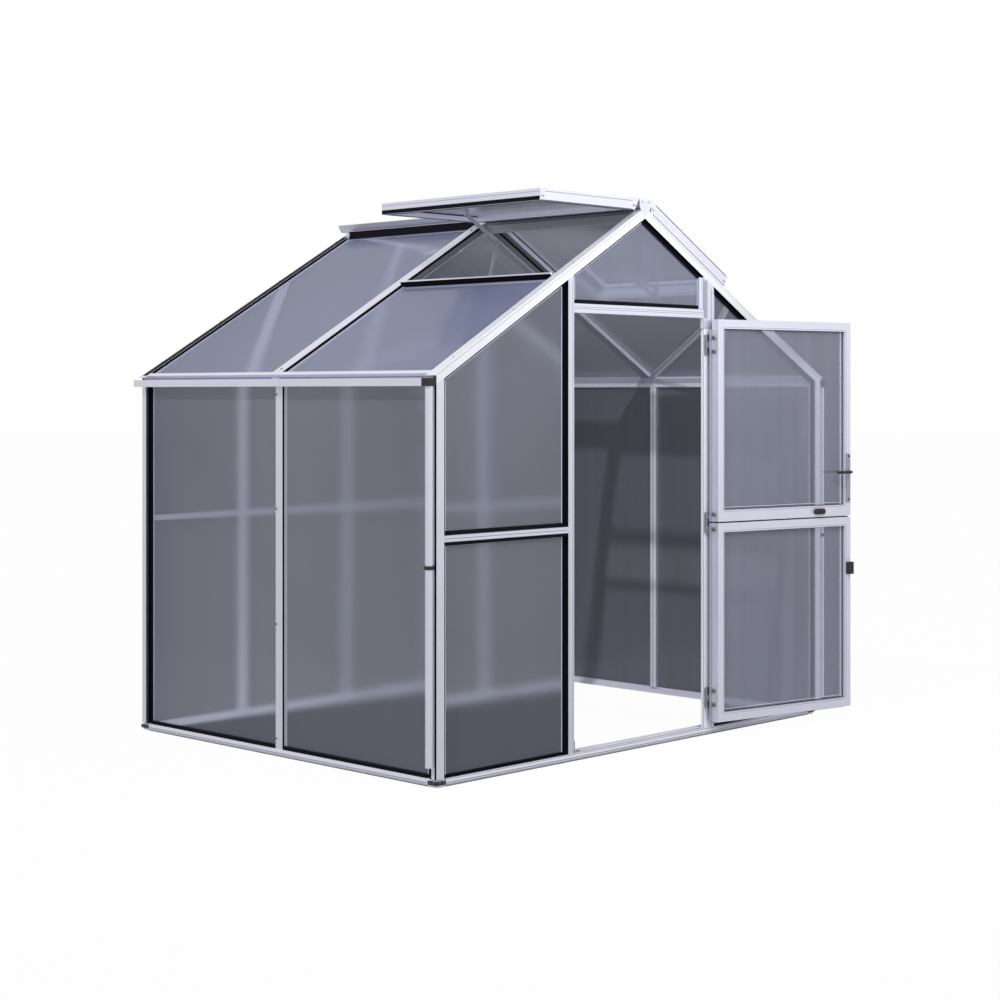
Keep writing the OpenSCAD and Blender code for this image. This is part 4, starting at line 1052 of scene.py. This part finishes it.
def floor_material():
    """Pale floor, white to the camera, and dim where it shows through the sheets, dimmer still
    inside the house's footprint as painted shade."""
    n = Nodes("floor")
    lit = n.add("ShaderNodeBsdfDiffuse", {"Color": (0.9, 0.9, 0.9, 1)}).outputs[0]
    white = n.emission(WHITE, 1.0)
    around = n.emission(BEHIND, 1.0)
    painted_house_shade = n.emission(BEHIND, 0.2)
    mirror = n.emission(WHITE, 0.5)
    middle = (0, (FRONT + REAR) / 2, 0)
    spot = n.vector("SUBTRACT", n.add("ShaderNodeTexCoord").outputs["Object"], middle)
    part = n.add("ShaderNodeSeparateXYZ", {0: n.vector("ABSOLUTE", spot)})
    # Mask of the house's footprint, where the floor seen through the sheets takes painted shade
    under = n.math("MULTIPLY", n.math("LESS_THAN", part.outputs[0], HALF_W),
                   n.math("LESS_THAN", part.outputs[1], (REAR - FRONT) / 2))
    path = n.add("ShaderNodeLightPath")
    seen = n.mix_shader(n.math("MULTIPLY", path.outputs["Is Camera Ray"], 0.97), lit, white)
    seen = n.mix_shader(path.outputs["Is Glossy Ray"], seen, mirror)
    behind = n.mix_shader(under, around, painted_house_shade)
    return n.finish(n.mix_shader(path.outputs["Is Transmission Ray"], seen, behind))


def floor():
    bm = bmesh.new()
    bmesh.ops.create_grid(bm, x_segments=1, y_segments=1, size=FLOOR_SIZE)
    mesh = bpy.data.meshes.new("floor")
    bm.to_mesh(mesh)
    bm.free()
    obj = bpy.data.objects.new("floor", mesh)
    bpy.context.collection.objects.link(obj)
    mesh.materials.append(floor_material())


def world():
    """White backdrop, weaker as a lamp and as what shows through the sheets."""
    w = bpy.data.worlds.new("studio")
    bpy.context.scene.world = w
    w.use_nodes = True
    tree = w.node_tree
    background = tree.nodes["Background"]
    path = tree.nodes.new("ShaderNodeLightPath")
    colour = tree.nodes.new("ShaderNodeMix")
    colour.data_type = "RGBA"
    colour.inputs[6].default_value = WHITE
    colour.inputs[7].default_value = BEHIND
    tree.links.new(path.outputs["Is Transmission Ray"], colour.inputs[0])
    tree.links.new(colour.outputs[2], background.inputs["Color"])
    diffuse = tree.nodes.new("ShaderNodeMath")
    diffuse.operation = "MULTIPLY_ADD"
    tree.links.new(path.outputs["Is Diffuse Ray"], diffuse.inputs[0])
    diffuse.inputs[1].default_value = AMBIENT - 1.0
    diffuse.inputs[2].default_value = 1.0
    tree.links.new(diffuse.outputs[0], background.inputs["Strength"])


def sun(name, azimuth, elevation, strength, angle):
    light = bpy.data.lights.new(name, "SUN")
    light.energy = strength
    light.angle = math.radians(angle)
    obj = bpy.data.objects.new(name, light)
    obj.rotation_euler = (math.radians(90 - elevation), 0, math.radians(azimuth))
    bpy.context.collection.objects.link(obj)


def softbox(name, at, target, size, power):
    """Soft lamp that lights the object and shows in nothing."""
    light = bpy.data.lights.new(name, "AREA")
    light.energy = power
    light.shape = "RECTANGLE"
    light.size = size[0]
    light.size_y = size[1]
    obj = bpy.data.objects.new(name, light)
    obj.location = at
    obj.rotation_euler = (Vector(target) - Vector(at)).to_track_quat("-Z", "Y").to_euler()
    obj.visible_camera = False
    obj.visible_transmission = False
    obj.visible_glossy = False
    bpy.context.collection.objects.link(obj)


def camera():
    """Level camera at the photograph's viewing angle."""
    data = bpy.data.cameras.new("camera")
    data.lens = 70.99
    data.sensor_width = 36
    data.shift_y = -0.107
    obj = bpy.data.objects.new("camera", data)
    obj.location = (-6.333, -5.346, 1.4817)
    obj.rotation_euler = (math.radians(90), 0, math.radians(-45.729))
    bpy.context.collection.objects.link(obj)
    bpy.context.scene.camera = obj


floor()
world()
sun("key", -78.7, 39.3, 0.95, 1.2)
softbox("front_top", (-0.3, -1.9, 3.1), (0.1, 0, 1.7), (2.4, 1.4), 52)
softbox("inside", (-0.3, 0.6, 1.8), (1.2, 1.25, 0.6), (0.8, 0.8), 2.6)
camera()
bpy.context.scene.view_settings.view_transform = "Standard"
